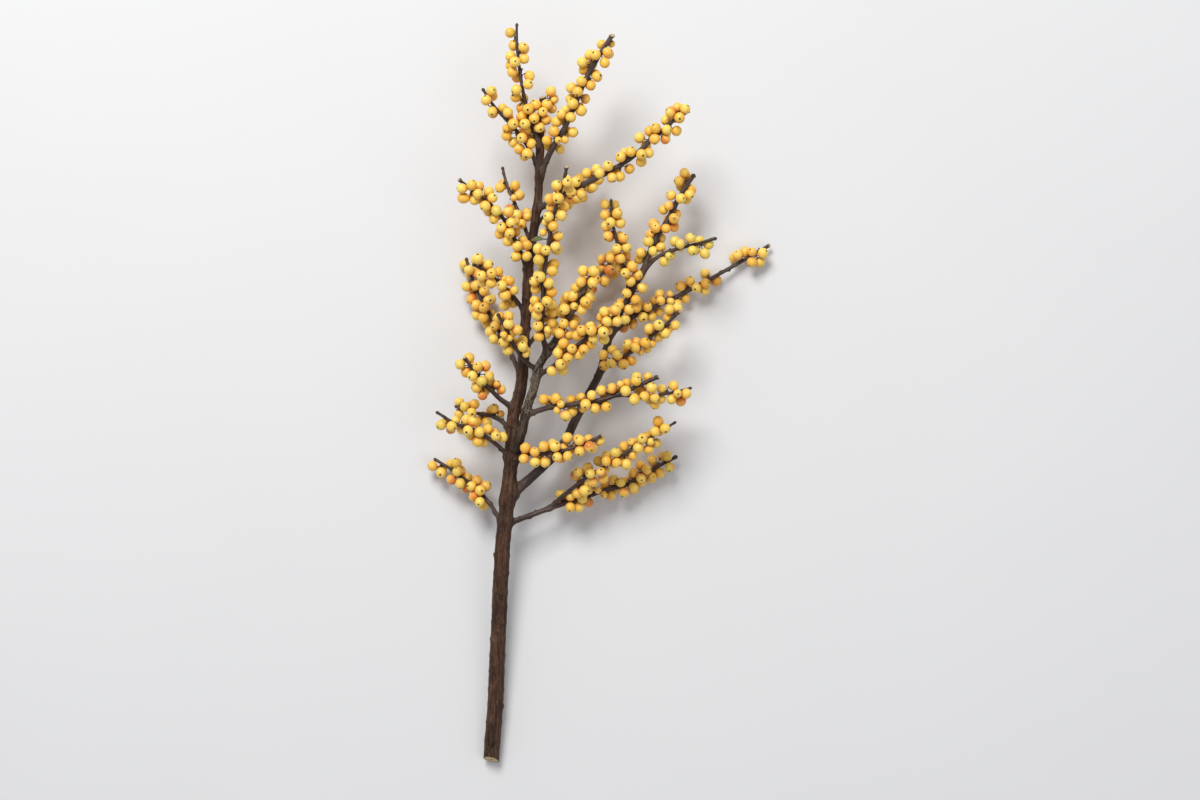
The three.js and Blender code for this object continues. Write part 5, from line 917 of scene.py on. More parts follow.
def berry_skin():
    n = Nodes("berry_skin")
    # the gold channel carries painted shade as well as the berry's own gold
    _, gold, blush_and_shade, green, bruise = n.attribute("tone")
    _, polar, seed, rim, painted_shade = n.attribute("place")
    where = n.vector("ADD", n.position(), n.scaled(n.combined(seed), 91.0))
    cloud = n.noise(where, 0.16, 3.0, 0.5)
    mottle = n.noise(where, 0.75, 5.0, 0.66, 0.4)
    fine = n.noise(where, 3.2, 3.0, 0.6)
    g = n.math("ADD", gold, n.math("MULTIPLY", n.math("SUBTRACT", cloud, 0.5), 0.7))
    g = n.math("ADD", g, n.math("MULTIPLY", n.math("SUBTRACT", n.noise(where, 0.34, 3.0, 0.6), 0.5), 0.9))
    g = n.math("ADD", g, n.math("MULTIPLY", n.math("SUBTRACT", mottle, 0.5), 0.85), clamp=True)
    colour = n.mix(g, LEMON, GOLD)
    # the blush channel also carries painted shade on undersides and between berries
    b = n.math("ADD", blush_and_shade, n.math("MULTIPLY", n.math("SUBTRACT", mottle, 0.5), 0.5))
    b = n.math("MULTIPLY", n.range(b, 0.12, 0.95), n.range(blush_and_shade, 0.0, 0.15))
    colour = n.mix(b, colour, n.mix(n.range(blush_and_shade, 0.5, 1.0), PEACH, ORANGE))
    # painted shade: amber mixed in on the sides away from the key light and between berries
    deep = n.math("ADD", painted_shade, n.math("MULTIPLY", n.math("SUBTRACT", mottle, 0.5), 0.3))
    colour = n.mix(n.math("MULTIPLY", n.range(deep, 0.12, 1.0), 0.85), colour, SHADE_AMBER)
    colour = n.mix(n.math("MULTIPLY", green, 0.8), colour, GREEN)
    # tiny pale pores
    pore = n.range(n.voronoi(where, 1.45), 0.06, 0.20, 1.0, 0.0)
    colour = n.mix(n.math("MULTIPLY", pore, 0.34), colour, (0.93, 0.76, 0.33))
    # a few brown specks
    fleck = n.math("MULTIPLY", n.range(n.voronoi(where, 0.34), 0.02, 0.055, 1.0, 0.0), n.range(cloud, 0.48, 0.60))
    colour = n.mix(n.math("MULTIPLY", fleck, 0.7), colour, (0.24, 0.115, 0.035))
    # the groove round the scar
    colour = n.mix(n.math("MULTIPLY", rim, 0.7), colour, (0.30, 0.15, 0.035))
    spot = n.range(n.math("ADD", bruise, n.math("MULTIPLY", n.math("SUBTRACT", mottle, 0.5), 0.9)), 0.28, 0.85)
    colour = n.mix(n.math("MULTIPLY", spot, 0.7), colour, (0.24, 0.10, 0.028))
    n.link(colour, n.bsdf.inputs["Base Color"])
    rough = n.range(mottle, 0.25, 0.8, 0.27, 0.41)
    n.link(n.math("ADD", rough, n.math("MULTIPLY", spot, 0.15)), n.bsdf.inputs["Roughness"])
    height = n.math("ADD", n.math("MULTIPLY", mottle, 1.0), n.math("MULTIPLY", fine, 0.30))
    height = n.math("ADD", height, n.math("MULTIPLY", pore, 0.12))
    n.link(n.bump(height, 0.34, 0.0004), n.bsdf.inputs["Normal"])
    n.bsdf.inputs["Subsurface Weight"].default_value = 0.18
    n.bsdf.inputs["Subsurface Radius"].default_value = (1.0, 0.45, 0.08)
    n.bsdf.inputs["Subsurface Scale"].default_value = 0.0022
    n.bsdf.inputs["Specular IOR Level"].default_value = 0.5
    return n.mat


def combined(self, value):
    n = self.new("ShaderNodeCombineXYZ")
    for k in range(3):
        self.put(n.inputs[k], value)
    return n.outputs[0]


Nodes.combined = combined

LEMON = (0.900, 0.645, 0.130)
GOLD = (0.860, 0.440, 0.042)
PEACH = (0.840, 0.330, 0.070)
ORANGE = (0.700, 0.225, 0.034)
# amber used only to paint shade on the berries
SHADE_AMBER = (0.740, 0.285, 0.020)
GREEN = (0.560, 0.540, 0.095)
BERRY_SKIN = berry_skin()


def dark_scar():
    n = Nodes("berry_scar")
    where = n.position()
    tone = n.noise(where, 3.5, 4.0, 0.7)
    n.link(n.mix(n.range(tone, 0.4, 0.75), (0.006, 0.004, 0.003), (0.045, 0.026, 0.014)), n.bsdf.inputs["Base Color"])
    n.bsdf.inputs["Roughness"].default_value = 0.62
    n.link(n.bump(tone, 0.6, 0.0003), n.bsdf.inputs["Normal"])
    return n.mat


BERRY_SCAR = dark_scar()


def stalk_skin():
    n = Nodes("stalk")
    _, along, seed, _, _ = n.attribute("place")
    where = n.position()
    tone = n.noise(where, 1.3, 4.0, 0.6)
    young = n.math("ADD", n.math("MULTIPLY", along, 0.6), n.math("MULTIPLY", seed, 0.5))
    colour = n.mix(n.range(young, 0.2, 1.0), (0.045, 0.026, 0.017), (0.120, 0.088, 0.034))
    colour = n.mix(n.range(tone, 0.4, 0.75, 0.0, 0.6), colour, (0.035, 0.021, 0.015))
    n.link(colour, n.bsdf.inputs["Base Color"])
    n.bsdf.inputs["Roughness"].default_value = 0.6
    n.link(n.bump(tone, 0.5, 0.0003), n.bsdf.inputs["Normal"])
    return n.mat


STALK_SKIN = stalk_skin()


def knob_bark():
    n = Nodes("knob_bark")
    where = n.position()
    tone = n.noise(where, 0.9, 5.0, 0.65, 0.4)
    colour = n.mix(n.range(tone, 0.35, 0.7), (0.018, 0.009, 0.006), (0.074, 0.043, 0.030))
    n.link(colour, n.bsdf.inputs["Base Color"])
    n.bsdf.inputs["Roughness"].default_value = 0.7
    n.link(n.bump(tone, 0.7, 0.0005), n.bsdf.inputs["Normal"])
    return n.mat


KNOB_BARK = knob_bark()

# ------------------------------------------------------------------ the wood

class Shoot:
    def __init__(self, name, parent, flat):
        self.name, self.parent = name, parent
        q = np.array(flat, float).reshape(-1, 4) / 100.0
        ext = np.vstack([2 * q[0] - q[1], q, 2 * q[-1] - q[-2]])
        t = np.linspace(0, len(q) - 1, (len(q) - 1) * 10 + 1)
        i = np.minimum(t.astype(int), len(q) - 2)
        f = (t - i)[:, None]
        a, b, c, d = ext[i], ext[i + 1], ext[i + 2], ext[i + 3]
        rows = 0.5 * (2 * b + (c - a) * f + (2 * a - 5 * b + 4 * c - d) * f**2 + (3 * b - a - 3 * c + d) * f**3)
        self.line, self.radius = rows[:, :3], rows[:, 3]
        step = np.linalg.norm(np.diff(self.line, axis=0), axis=1)
        self.s = np.concatenate([[0], np.cumsum(step)])
        self.length = self.s[-1]
        self.scars = []

    def at(self, s):
        return np.stack([np.interp(s, self.s, self.line[:, k]) for k in range(3)], -1)

    def r(self, s):
        return np.interp(s, self.s, self.radius)

    def tangent(self, s):
        return unit(self.at(np.asarray(s) + 0.8) - self.at(np.asarray(s) - 0.8))

    def nearest(self, p):
        return self.s[np.argmin(np.linalg.norm(self.line - p, axis=1))]


def carried(tangents, first=None):
    """Frames carried along a line without twist: U and V at right angles to the tangents."""
    u = np.array([0.0, 0.0, 1.0]) if first is None else np.array(first, float)
    U = np.zeros_like(tangents)
    for i, t in enumerate(tangents):
        u = u - t * (u @ t)
        if np.linalg.norm(u) < 1e-6:
            u = np.cross(t, [1.0, 0.3, 0.2])
        u = u / np.linalg.norm(u)
        U[i] = u
    return U, np.cross(tangents, U)


shoots = [Shoot(*row) for row in SHOOTS]
by_name = {s.name: s for s in shoots}
clusters = []
for row in np.array(CLUSTERS, float).reshape(-1, 8):
    c = {"shoot": shoots[int(row[0])], "node": FRUIT_NODES[int(row[1])], "foot": row[2:5] / 100, "out": unit(row[5:8]), "berries": []}
    c["s"] = c["shoot"].nearest(c["foot"])
    c["shoot"].scars.append((c["s"], c["out"], 0.95, 1))
    clusters.append(c)

# Bare nodes: leaf scars with a small bud, on the same spiral, where there is no fruit.
for k, shoot in enumerate(shoots):
    rng = np.random.default_rng(700 + k)
    thick = shoot.radius[0] > 4
    taken = sorted(s for s, *_ in shoot.scars)
    turn = rng.uniform(0, 6.28)
    s = 9.0 if shoot.parent else 24.0
    while s < shoot.length - 3:
        turn += 2.513 + rng.normal(0, 0.15)
        if not taken or min(abs(s - t) for t in taken) > 4.4:
            t = shoot.tangent(s)
            side = unit(np.cross([0.0, 0.0, 1.0], t))
            out = side * math.cos(turn) + np.cross(t, side) * math.sin(turn)
            size = rng.uniform(0.6, 1.2) * (1.2 if thick and rng.random() < 0.35 else 0.9)
            shoot.scars.append((s, out, size, 0))
        s += (8.5 if shoot.r(s) < 3.2 else 16.0) * rng.uniform(0.75, 1.25)

CUT_TIPS = {"main_stem", "grey_fork", "right_long", "crown_front", "left_high", "left_mid", "crown_right", "far_right", "right_side", "high_right", "low_right_short"}

# Thin shoots were cut just above a node, whose scars thicken the end.
for k, shoot in enumerate(shoots):
    if shoot.name in CUT_TIPS and shoot.radius[-1] < 2.5:
        rng = np.random.default_rng(1400 + k)
        t = shoot.tangent(shoot.length)
        side = unit(np.cross([0.0, 0.0, 1.0], t))
        for _ in range(2):
            turn = rng.uniform(0, 6.28)
            out = side * math.cos(turn) + np.cross(t, side) * math.sin(turn)
            shoot.scars.append((shoot.length - rng.uniform(1.5, 2.8), out, rng.uniform(0.6, 1.0), 0))


def near_surface(points, other, lo, hi):
    """How far points stand off another shoot's wood between two places along it."""
    s = np.arange(max(lo, 0), min(hi, other.length), 0.7)
    if len(s) < 2:
        return np.full(len(points), 99.0)
    c, r = other.at(s), other.r(s)
    d = np.full(len(points), 99.0)
    for k in range(len(s)):
        d = np.minimum(d, np.linalg.norm(points - c[k], axis=1) - r[k])
    return d


def tube(mesh, line, radii, sides, place, uv_box, mat, tone=None, rng=None, rough=0.0):
    """A closed tube along a line of points."""
    T = unit(np.gradient(line, axis=0))
    U, V = carried(T, unit(np.cross(T[0], [0.31, 0.52, 0.79])))
    phi = np.arange(sides) * 2 * np.pi / sides
    D = U[:, None] * np.cos(phi)[None, :, None] + V[:, None] * np.sin(phi)[None, :, None]
    R = np.repeat(np.asarray(radii, float)[:, None], sides, 1)
    if rng is not None and rough:
        R = R * (1 + rough * rng.normal(size=R.shape))
    co = (line[:, None] + D * R[:, :, None]).reshape(-1, 3)
    n = len(line)
    first = mesh.points(co, tone, np.repeat(place, sides, 0))
    corners, where = ring_quads(first, n, sides)
    x, y, w, h = uv_box
    umap = lambda j: x + w * j / sides
    vmap = lambda i: y + h * (0.05 + 0.9 * i / (n - 1))
    mesh.quads(corners, np.stack([umap(where[..., 1]), vmap(where[..., 0])], -1), mat)
    j = np.arange(sides)
    k = (j + 1) % sides
    for end in (False, True):
        c = mesh.points(line[-1 if end else 0], None if tone is None else tone, place[-1 if end else 0])
        row = first + ((n - 1) * sides if end else 0)
        tri = np.stack([np.full(sides, c), row + (j if end else k), row + (k if end else j)], 1)
        v = y + h * (1.0 if end else 0.0)
        e = vmap(n - 1 if end else 0)
        a, bb = (j, j + 1) if end else (j + 1, j)
        uvt = np.stack([np.stack([umap(j + 0.5), np.full(sides, v)], 1), np.stack([umap(a), np.full(sides, e)], 1), np.stack([umap(bb), np.full(sides, e)], 1)], 1)
        mesh.quads(tri, uvt, mat)


fruit = np.array(BERRIES, float).reshape(-1, 5) / 100


def clear_of_fruit(point):
    """Whether a point is off the berries and off the surface."""
    return point[2] > 1.5 and np.min(np.linalg.norm(fruit[:, 1:4] - point, axis=1) - fruit[:, 4]) > 0.5


def spur(mesh, shoot, at, out, box, rng):
    """A short dead spur on a bare node: what is left of old stalks and bud scales."""
    t = shoot.tangent(at)
    out = unit(out - t * (t @ out))
    r = float(shoot.r(at))
    reach = rng.uniform(1.1, 2.3)
    x = np.array([-0.6 * r, 0.0, 0.45 * reach, 0.8 * reach, reach, 1.12 * reach])
    lean = 0.5 * np.clip(x, 0, None) ** 1.2
    line = shoot.at(at) + out * (r + x)[:, None] * 0.92 + t * lean[:, None]
    radii = np.array([1.25, 1.15, 0.85, 0.80, 0.62, 0.22]) * rng.uniform(0.8, 1.1) * min(1.25, 0.55 + 0.2 * r)
    tube(mesh, line, radii, 8, np.zeros((len(x), 4)), box, 2, None, rng, 0.10)


def wood(shoot, index):
    thick = shoot.radius[0]
    sides, step = (48, 1.35) if thick > 7 else (30, 1.1) if thick > 4 else (16, 0.92) if thick > 2.3 else (14, 0.92)
    parent = by_name.get(shoot.parent)
    cut = shoot.name in CUT_TIPS
    s = np.arange(0, shoot.length, step)
    s = np.append(s[s < shoot.length - 0.5 * step], shoot.length)
    T = unit(np.gradient(shoot.at(s), axis=0))
    U, V = carried(T)
    phi = np.arange(sides) * 2 * np.pi / sides
    D = U[:, None] * np.cos(phi)[None, :, None] + V[:, None] * np.sin(phi)[None, :, None]
    centre = shoot.at(s)
    # a slight waver from node to node
    waver = np.stack([noise(np.stack([s / 15.0, np.full(len(s), 7.3 * index), np.full(len(s), 3.1 * k)], 1), 11) for k in range(2)], 1)
    waver *= (0.22 * np.minimum(1, s / 20) * np.minimum(1, (shoot.length - s) / 8))[:, None]
    centre = centre + U * waver[:, :1] + V * waver[:, 1:]
    r = shoot.r(s)
    r = r + 0.15 * (1 - smooth(2.0, 3.2, r))
    if not cut:  # a blunt bud, thicker than the shoot
        e = shoot.length - s
        r = r * np.interp(e, [0, 0.35, 1.0, 1.9, 2.9, 3.8, 6.0], [0.15, 0.68, 1.15, 1.38, 1.20, 1.0, 1.0])
    elif r[-1] < 2.5:
        r = r * np.interp(shoot.length - s, [0, 0.8, 2.0, 3.6], [1.16, 1.24, 1.10, 1.0])
    R = np.repeat(r[:, None], sides, 1)
    n = len(s)
    flat = lambda a: a.reshape(n * sides, -1)
    base = flat(centre[:, None] + D * R[:, :, None])

    # where shoots meet, each swells towards the other
    swell = np.zeros(n * sides)
    if parent is not None:
        at = parent.nearest(shoot.line[0])
        reach = 1.5 * thick + 0.6
        near = np.repeat(s < 14 + 3 * thick, sides)
        d = near_surface(base[near], parent, at - 30, at + 42)
        swell[near] += 0.34 * reach * (1 - np.clip(d / reach, 0, 1)) ** 2
    for child in shoots:
        if child.parent != shoot.name:
            continue
        at = shoot.nearest(child.line[0])
        reach = 1.5 * child.radius[0] + 0.6
        near = np.repeat(abs(s - at) < 16 + 3 * child.radius[0], sides)
        d = near_surface(base[near], child, 0, 34)
        swell[near] += 0.34 * reach * (1 - np.clip(d / reach, 0, 1)) ** 2

    # leaf scars: a ledge that rises slowly from the foot side, under a small bud
    lump = np.zeros((n, sides))
    mask = np.zeros((n, sides))
    for at, out, size, fruit in shoot.scars:
        i = np.where(abs(s - at) < 9)[0]
        if not len(i):
            continue
        ds = (s[i] - at)[:, None]
        o = unit(out - T[i] * (T[i] @ out)[:, None])
        cos = np.clip(np.einsum("ijk,ik->ij", D[i], o), -1, 1)
        side = r[i][:, None] * np.arccos(cos)
        wide = 1.15 + 0.16 * r[i][:, None]
        tall = size * (0.8 + 0.1 * r[i][:, None]) * np.minimum(1.0, 3.4 / r[i][:, None])
        slope = np.where(ds < 0, np.exp(-((ds / 2.3) ** 2)), np.exp(-((ds / 1.05) ** 2)))
        lump[i] += tall * slope * np.exp(-((side / wide) ** 2))
        lump[i] += 0.05 * r[i][:, None] * np.exp(-((ds / 2.4) ** 2))
        if not fruit:
            bud = np.exp(-(((ds - 1.7) / 0.8) ** 2) - (side / 0.75) ** 2)
            lump[i] += 0.5 * size * bud
        mask[i] = np.maximum(mask[i], slope * np.exp(-((side / (wide * 0.9)) ** 2)))

    # fibres, flutes and bumps
    ang = np.stack([np.cos(phi), np.sin(phi)], 1)
    gx = R * ang[None, :, 0] + 37.0 * index
    gy = R * ang[None, :, 1]
    gz = np.repeat(s[:, None], sides, 1)
    P = lambda k, kz: np.stack([gx.ravel() * k, gy.ravel() * k, gz.ravel() * kz], 1)
    fibre = (1 - abs(noise(P(0.62, 0.055), 3)) * 2).reshape(n, sides)
    fine = noise(P(1.5, 0.16), 5).reshape(n, sides)
    flute = noise(P(0.22, 0.03), 8).reshape(n, sides)
    rough = noise(P(0.5, 0.33), 13).reshape(n, sides)
    old = smooth(2.0, 6.0, r)[:, None]
    relief = R * (0.030 * flute + (0.008 + 0.022 * old) * fibre + (0.010 + 0.008 * old) * fine + (0.012 + 0.014 * old) * rough)
    rings = np.exp(-(((s - (6 + 2 * thick)) / 0.7) ** 2)) + np.exp(-(((s - (8 + 2 * thick)) / 0.6) ** 2))
    if parent is not None:
        relief += 0.05 * rings[:, None] * R
    ends = np.minimum(1, (shoot.length - s) / 2.0)[:, None] if not cut else 1.0
    R = R + (lump + relief) * ends + swell.reshape(n, sides)
    co = centre[:, None] + D * R[:, :, None]

    # slanted cuts
    def slant(co, end, amount, turn):
        i = np.arange(n)
        dist = (shoot.length - s) if end else s
        share = np.exp(-((dist / (1.2 * thick + 1.0)) ** 2))[:, None]
        t = T[-1 if end else 0]
        up = unit(np.array([0, 0, 1.0]) - t * t[2] + 1e-4 * np.array([1.0, 0.3, 0]))
        way = math.cos(turn) * up + math.sin(turn) * np.cross(t, up)
        off = np.einsum("ijk,k->ij", co - centre[:, None], way)
        sign = -1.0 if end else 1.0
        # only ever shortens, so that the cut stays inside the stem's length
        push = amount * (off + R.max()) * share * sign
        return co + T[:, None] * push[:, :, None]

    lucky = np.random.default_rng(300 + index)
    if cut:
        co = slant(co, True, lucky.uniform(0.3, 0.75), lucky.normal(0, 0.6))
    if parent is None:
        co = slant(co, False, 0.55, -0.25)

    tone = np.zeros((n, sides, 4))
    tone[..., 0] = mask
    tone[..., 1] = D[..., 2]
    tone[..., 2] = 1.0
    # the grey fork starts out as brown as the trunk that it leaves
    tone[..., 3] = smooth(6, 60, s)[:, None] if shoot.name == "grey_fork" else 1.0
    place = np.stack([gx, gy, gz, R], -1)

    # caps: rings that close each end
    def cap(end, cut_here):
        row = co[-1] if end else co[0]
        mid = row.mean(0)
        out = T[-1] if end else -T[0]
        shares = [0.985, 0.93, 0.72, 0.45, 0.2] if cut_here else [0.6]
        lift = [0.10, 0.14, 0.15, 0.12, 0.08] if cut_here else [0.12]
        rows = [mid + (row - mid) * f + out * h for f, h in zip(shares, lift)]
        return np.array(rows), mid + out * (0.05 if cut_here else 0.2), shares

    top, top_mid, top_f = cap(True, cut)
    low, low_mid, low_f = cap(False, parent is None)
    low, low_f = low[::-1], low_f[::-1]
    co = np.concatenate([low, co, top])
    def pad(a, fl, fh):
        lo, hi = np.repeat(a[:1], len(fl), 0), np.repeat(a[-1:], len(fh), 0)
        return np.concatenate([lo, a, hi])
    tone, place = pad(tone, low_f, top_f), pad(place, low_f, top_f)
    for k, f in enumerate(low_f):
        tone[k, :, 2] = f
    for k, f in enumerate(top_f):
        tone[len(co) - len(top_f) + k, :, 2] = f
    rows = len(co)
    mesh = Cloth()
    first = mesh.points(co.reshape(-1, 3), tone.reshape(-1, 4), place.reshape(-1, 4))
    corners, where = ring_quads(first, rows, sides)
    ring = where[:, 0, 0]
    mats = np.zeros(len(corners), int)
    if parent is None:
        mats[ring < len(low_f)] = 1
    if cut:
        mats[ring >= rows - len(top_f) - 1] = 1
    # the map: the strip of bark in a few columns
    columns = max(1, int(round(math.sqrt(shoot.length / (2 * np.pi * thick * 0.8)))))
    per = int(math.ceil((rows - 1) / columns))
    col = ring // per
    uv = np.zeros(where.shape, float)
    uv[..., 0] = (col[:, None] + 0.015 + 0.97 * where[..., 1] / sides) / columns
    uv[..., 1] = 0.01 + 0.95 * (where[..., 0] - (col * per)[:, None]) / per
    mesh.quads(corners, uv, mats)
    # the two middles, in a strip along the top of the map
    for end, mid, colour_of in ((False, low_mid, parent is None), (True, top_mid, cut)):
        c = mesh.points(mid, (0, 0, 0, 1), place[-1 if end else 0].mean(0))
        j = np.arange(sides)
        k = (j + 1) % sides
        row = first + ((rows - 1) * sides if end else 0)
        tri = np.stack([np.full(sides, c), row + (j if end else k), row + (k if end else j)], 1)
        mu = np.array([0.25 if not end else 0.75, 0.98])
        ru = lambda q: mu + 0.014 * np.stack([np.cos(q * 2 * np.pi / sides), np.sin(q * 2 * np.pi / sides)], 1)
        uvt = np.stack([np.repeat(mu[None], sides, 0), ru(j if end else k), ru(k if end else j)], 1)
        mesh.quads(tri, uvt, 1 if colour_of else 0)
    # spurs on about half of the bare nodes
    chosen = [(at, out) for at, out, size, fruit in shoot.scars if not fruit and size > 0.62 and lucky.random() < 0.7 and 6 < at < shoot.length - 4]
    chosen = [(at, out) for at, out in chosen if clear_of_fruit(shoot.at(at) + out * (shoot.r(at) + 2.2))]
    for k, (at, out) in enumerate(chosen[:32]):
        spur(mesh, shoot, at, out, (0.302 + 0.0123 * k, 0.966, 0.0105, 0.030), lucky)
    skin = BARK_TRUNK if shoot.name == "main_stem" else BARK_GREY if shoot.name == "grey_fork" else BARK_TWIG
    node = shoot.name if shoot.name in frame["nodes"] else "shoot_" + shoot.name
    ob = mesh.object(node + "_bark", [skin, CUT_WOOD, KNOB_BARK])
    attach(ob, "root")
    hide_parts(node)
    return ob


for index, shoot in enumerate(shoots):
    wood(shoot, index)

# --------------------------------------------------------------- the berries

SIDES = 24
RINGS = np.radians([4.2, 7.6, 10.0, 11.5, 13.7, 17.5, 24.5, 34, 46, 60, 75, 90, 106, 122, 138, 152, 164, 173])
N_RINGS = len(RINGS)
PHI = np.arange(SIDES) * 2 * np.pi / SIDES

berries = []
for k, row in enumerate(np.array(BERRIES, float).reshape(-1, 5)):
    c = clusters[int(row[0])]
    b = {"at": row[1:4] / 100, "r": row[4] / 100, "cluster": c, "id": k}
    # its round skin just rests on the surface
    b["at"][2] = max(b["at"][2], b["r"] + 0.02)
    c["berries"].append(b)
    berries.append(b)

middles = np.array([b["at"] for b in berries])
sizes = np.array([b["r"] for b in berries])


def berry_shape(b, rng):
    """The berry's skin as directions times radii, in its own frame: rings from its dark scar to its stalk."""
    scar = rng.uniform(0.76, 1.12) * (5.1 / max(b["r"], 3.5)) ** 0.5
    theta = np.repeat(RINGS[:, None], SIDES, 1)
    phi = np.repeat(PHI[None], N_RINGS, 0)
    wob = 1 + 0.09 * np.sin(2 * PHI + rng.uniform(0, 6.28)) + 0.07 * np.sin(3 * PHI + rng.uniform(0, 6.28)) + 0.06 * np.sin(5 * PHI + rng.uniform(0, 6.28))
    for k, hold in ((0, 1.0), (1, 1.0), (2, 1.0), (3, 0.9), (4, 0.6)):
        theta[k] = RINGS[k] * (1 + (scar * wob - 1) * hold)
    dirs = np.stack([np.sin(theta) * np.cos(phi), np.sin(theta) * np.sin(phi), -np.cos(theta)], -1).reshape(-1, 3)
    dirs = np.vstack([[[0, 0, -1.0]], dirs, [[0, 0, 1.0]]])
    th = np.concatenate([[0], theta.ravel(), [np.pi]])
    ph = np.concatenate([[0], phi.ravel(), [0]])
    deg = np.degrees(th)
    f = np.ones(len(th))
    # low, broad unevenness
    f += 0.020 * noise(dirs * 1.1 + rng.uniform(-50, 50, 3), 21) + 0.007 * noise(dirs * 2.7 + rng.uniform(-50, 50, 3), 22)
    # a shallow basin round the scar, and the pit of the stalk
    f -= rng.uniform(0.004, 0.030) * np.exp(-((deg / 19) ** 2))
    f -= 0.062 * np.exp(-(((180 - deg) / 13) ** 2))
    # the scar: a rough low button in a fine groove
    inside = deg < 10.7 * scar
    f += np.where(deg < 9.0 * scar, 0.005, 0.0) + 0.006 * noise(dirs * 9.0 + rng.uniform(-50, 50, 3), 23) * inside
    k = np.arange(len(th)) - 1
    ring = np.clip(k // SIDES, -1, N_RINGS)
    f += np.where(ring == 2, 0.010, 0.0) + np.where(ring == 3, -0.008, 0.0) + np.where(ring == 4, 0.005, 0.0)
    # a few have a furrow or puckers
    crease = np.zeros(len(th))
    if rng.random() < 0.17:
        for _ in range(rng.integers(1, 3)):
            p0, deep, wide = rng.uniform(0, 6.28), rng.uniform(0.02, 0.055), rng.uniform(0.10, 0.20)
            d = (ph - p0 + np.pi) % (2 * np.pi) - np.pi
            crease += deep * np.exp(-((d * np.sin(th) / wide) ** 2)) * smooth(8, 26, deg) * (1 - smooth(rng.uniform(55, 80), rng.uniform(95, 135), deg))
    if rng.random() < 0.14:
        waves = rng.integers(6, 11)
        crease += 0.014 * (0.5 + 0.5 * np.cos(waves * ph + rng.uniform(0, 6.28))) * np.exp(-(((deg - 22) / 9) ** 2))
    f -= crease
    # oblate, sometimes long
    long = rng.random() < 0.13
    tall = rng.uniform(1.03, 1.09) if long else rng.normal(0.960, 0.022)
    side = rng.uniform(0.955, 0.985) if long else 1.0
    pear = rng.uniform(0.02, 0.07) if long else rng.uniform(-0.02, 0.02)
    squash = rng.uniform(0.965, 1.0)
    xyz = dirs * f[:, None]
    z = xyz[:, 2].copy()
    xyz[:, 0] *= side * (1 - pear * z)
    xyz[:, 1] *= side * squash * (1 - pear * z)
    xyz[:, 2] *= tall
    return xyz, dirs, deg, inside, ring, crease, scar


def cell_of(index, total):
    per = int(math.ceil(math.sqrt(total)))
    return (index % per) / per, (index // per) / per, 1.0 / per


def axes_for(front, rng):
    """A frame whose third axis is the way from the scar to the stalk."""
    t = -unit(front)
    u = unit(np.cross(t, rng.normal(size=3)))
    return np.stack([u, np.cross(t, u), t], 1)


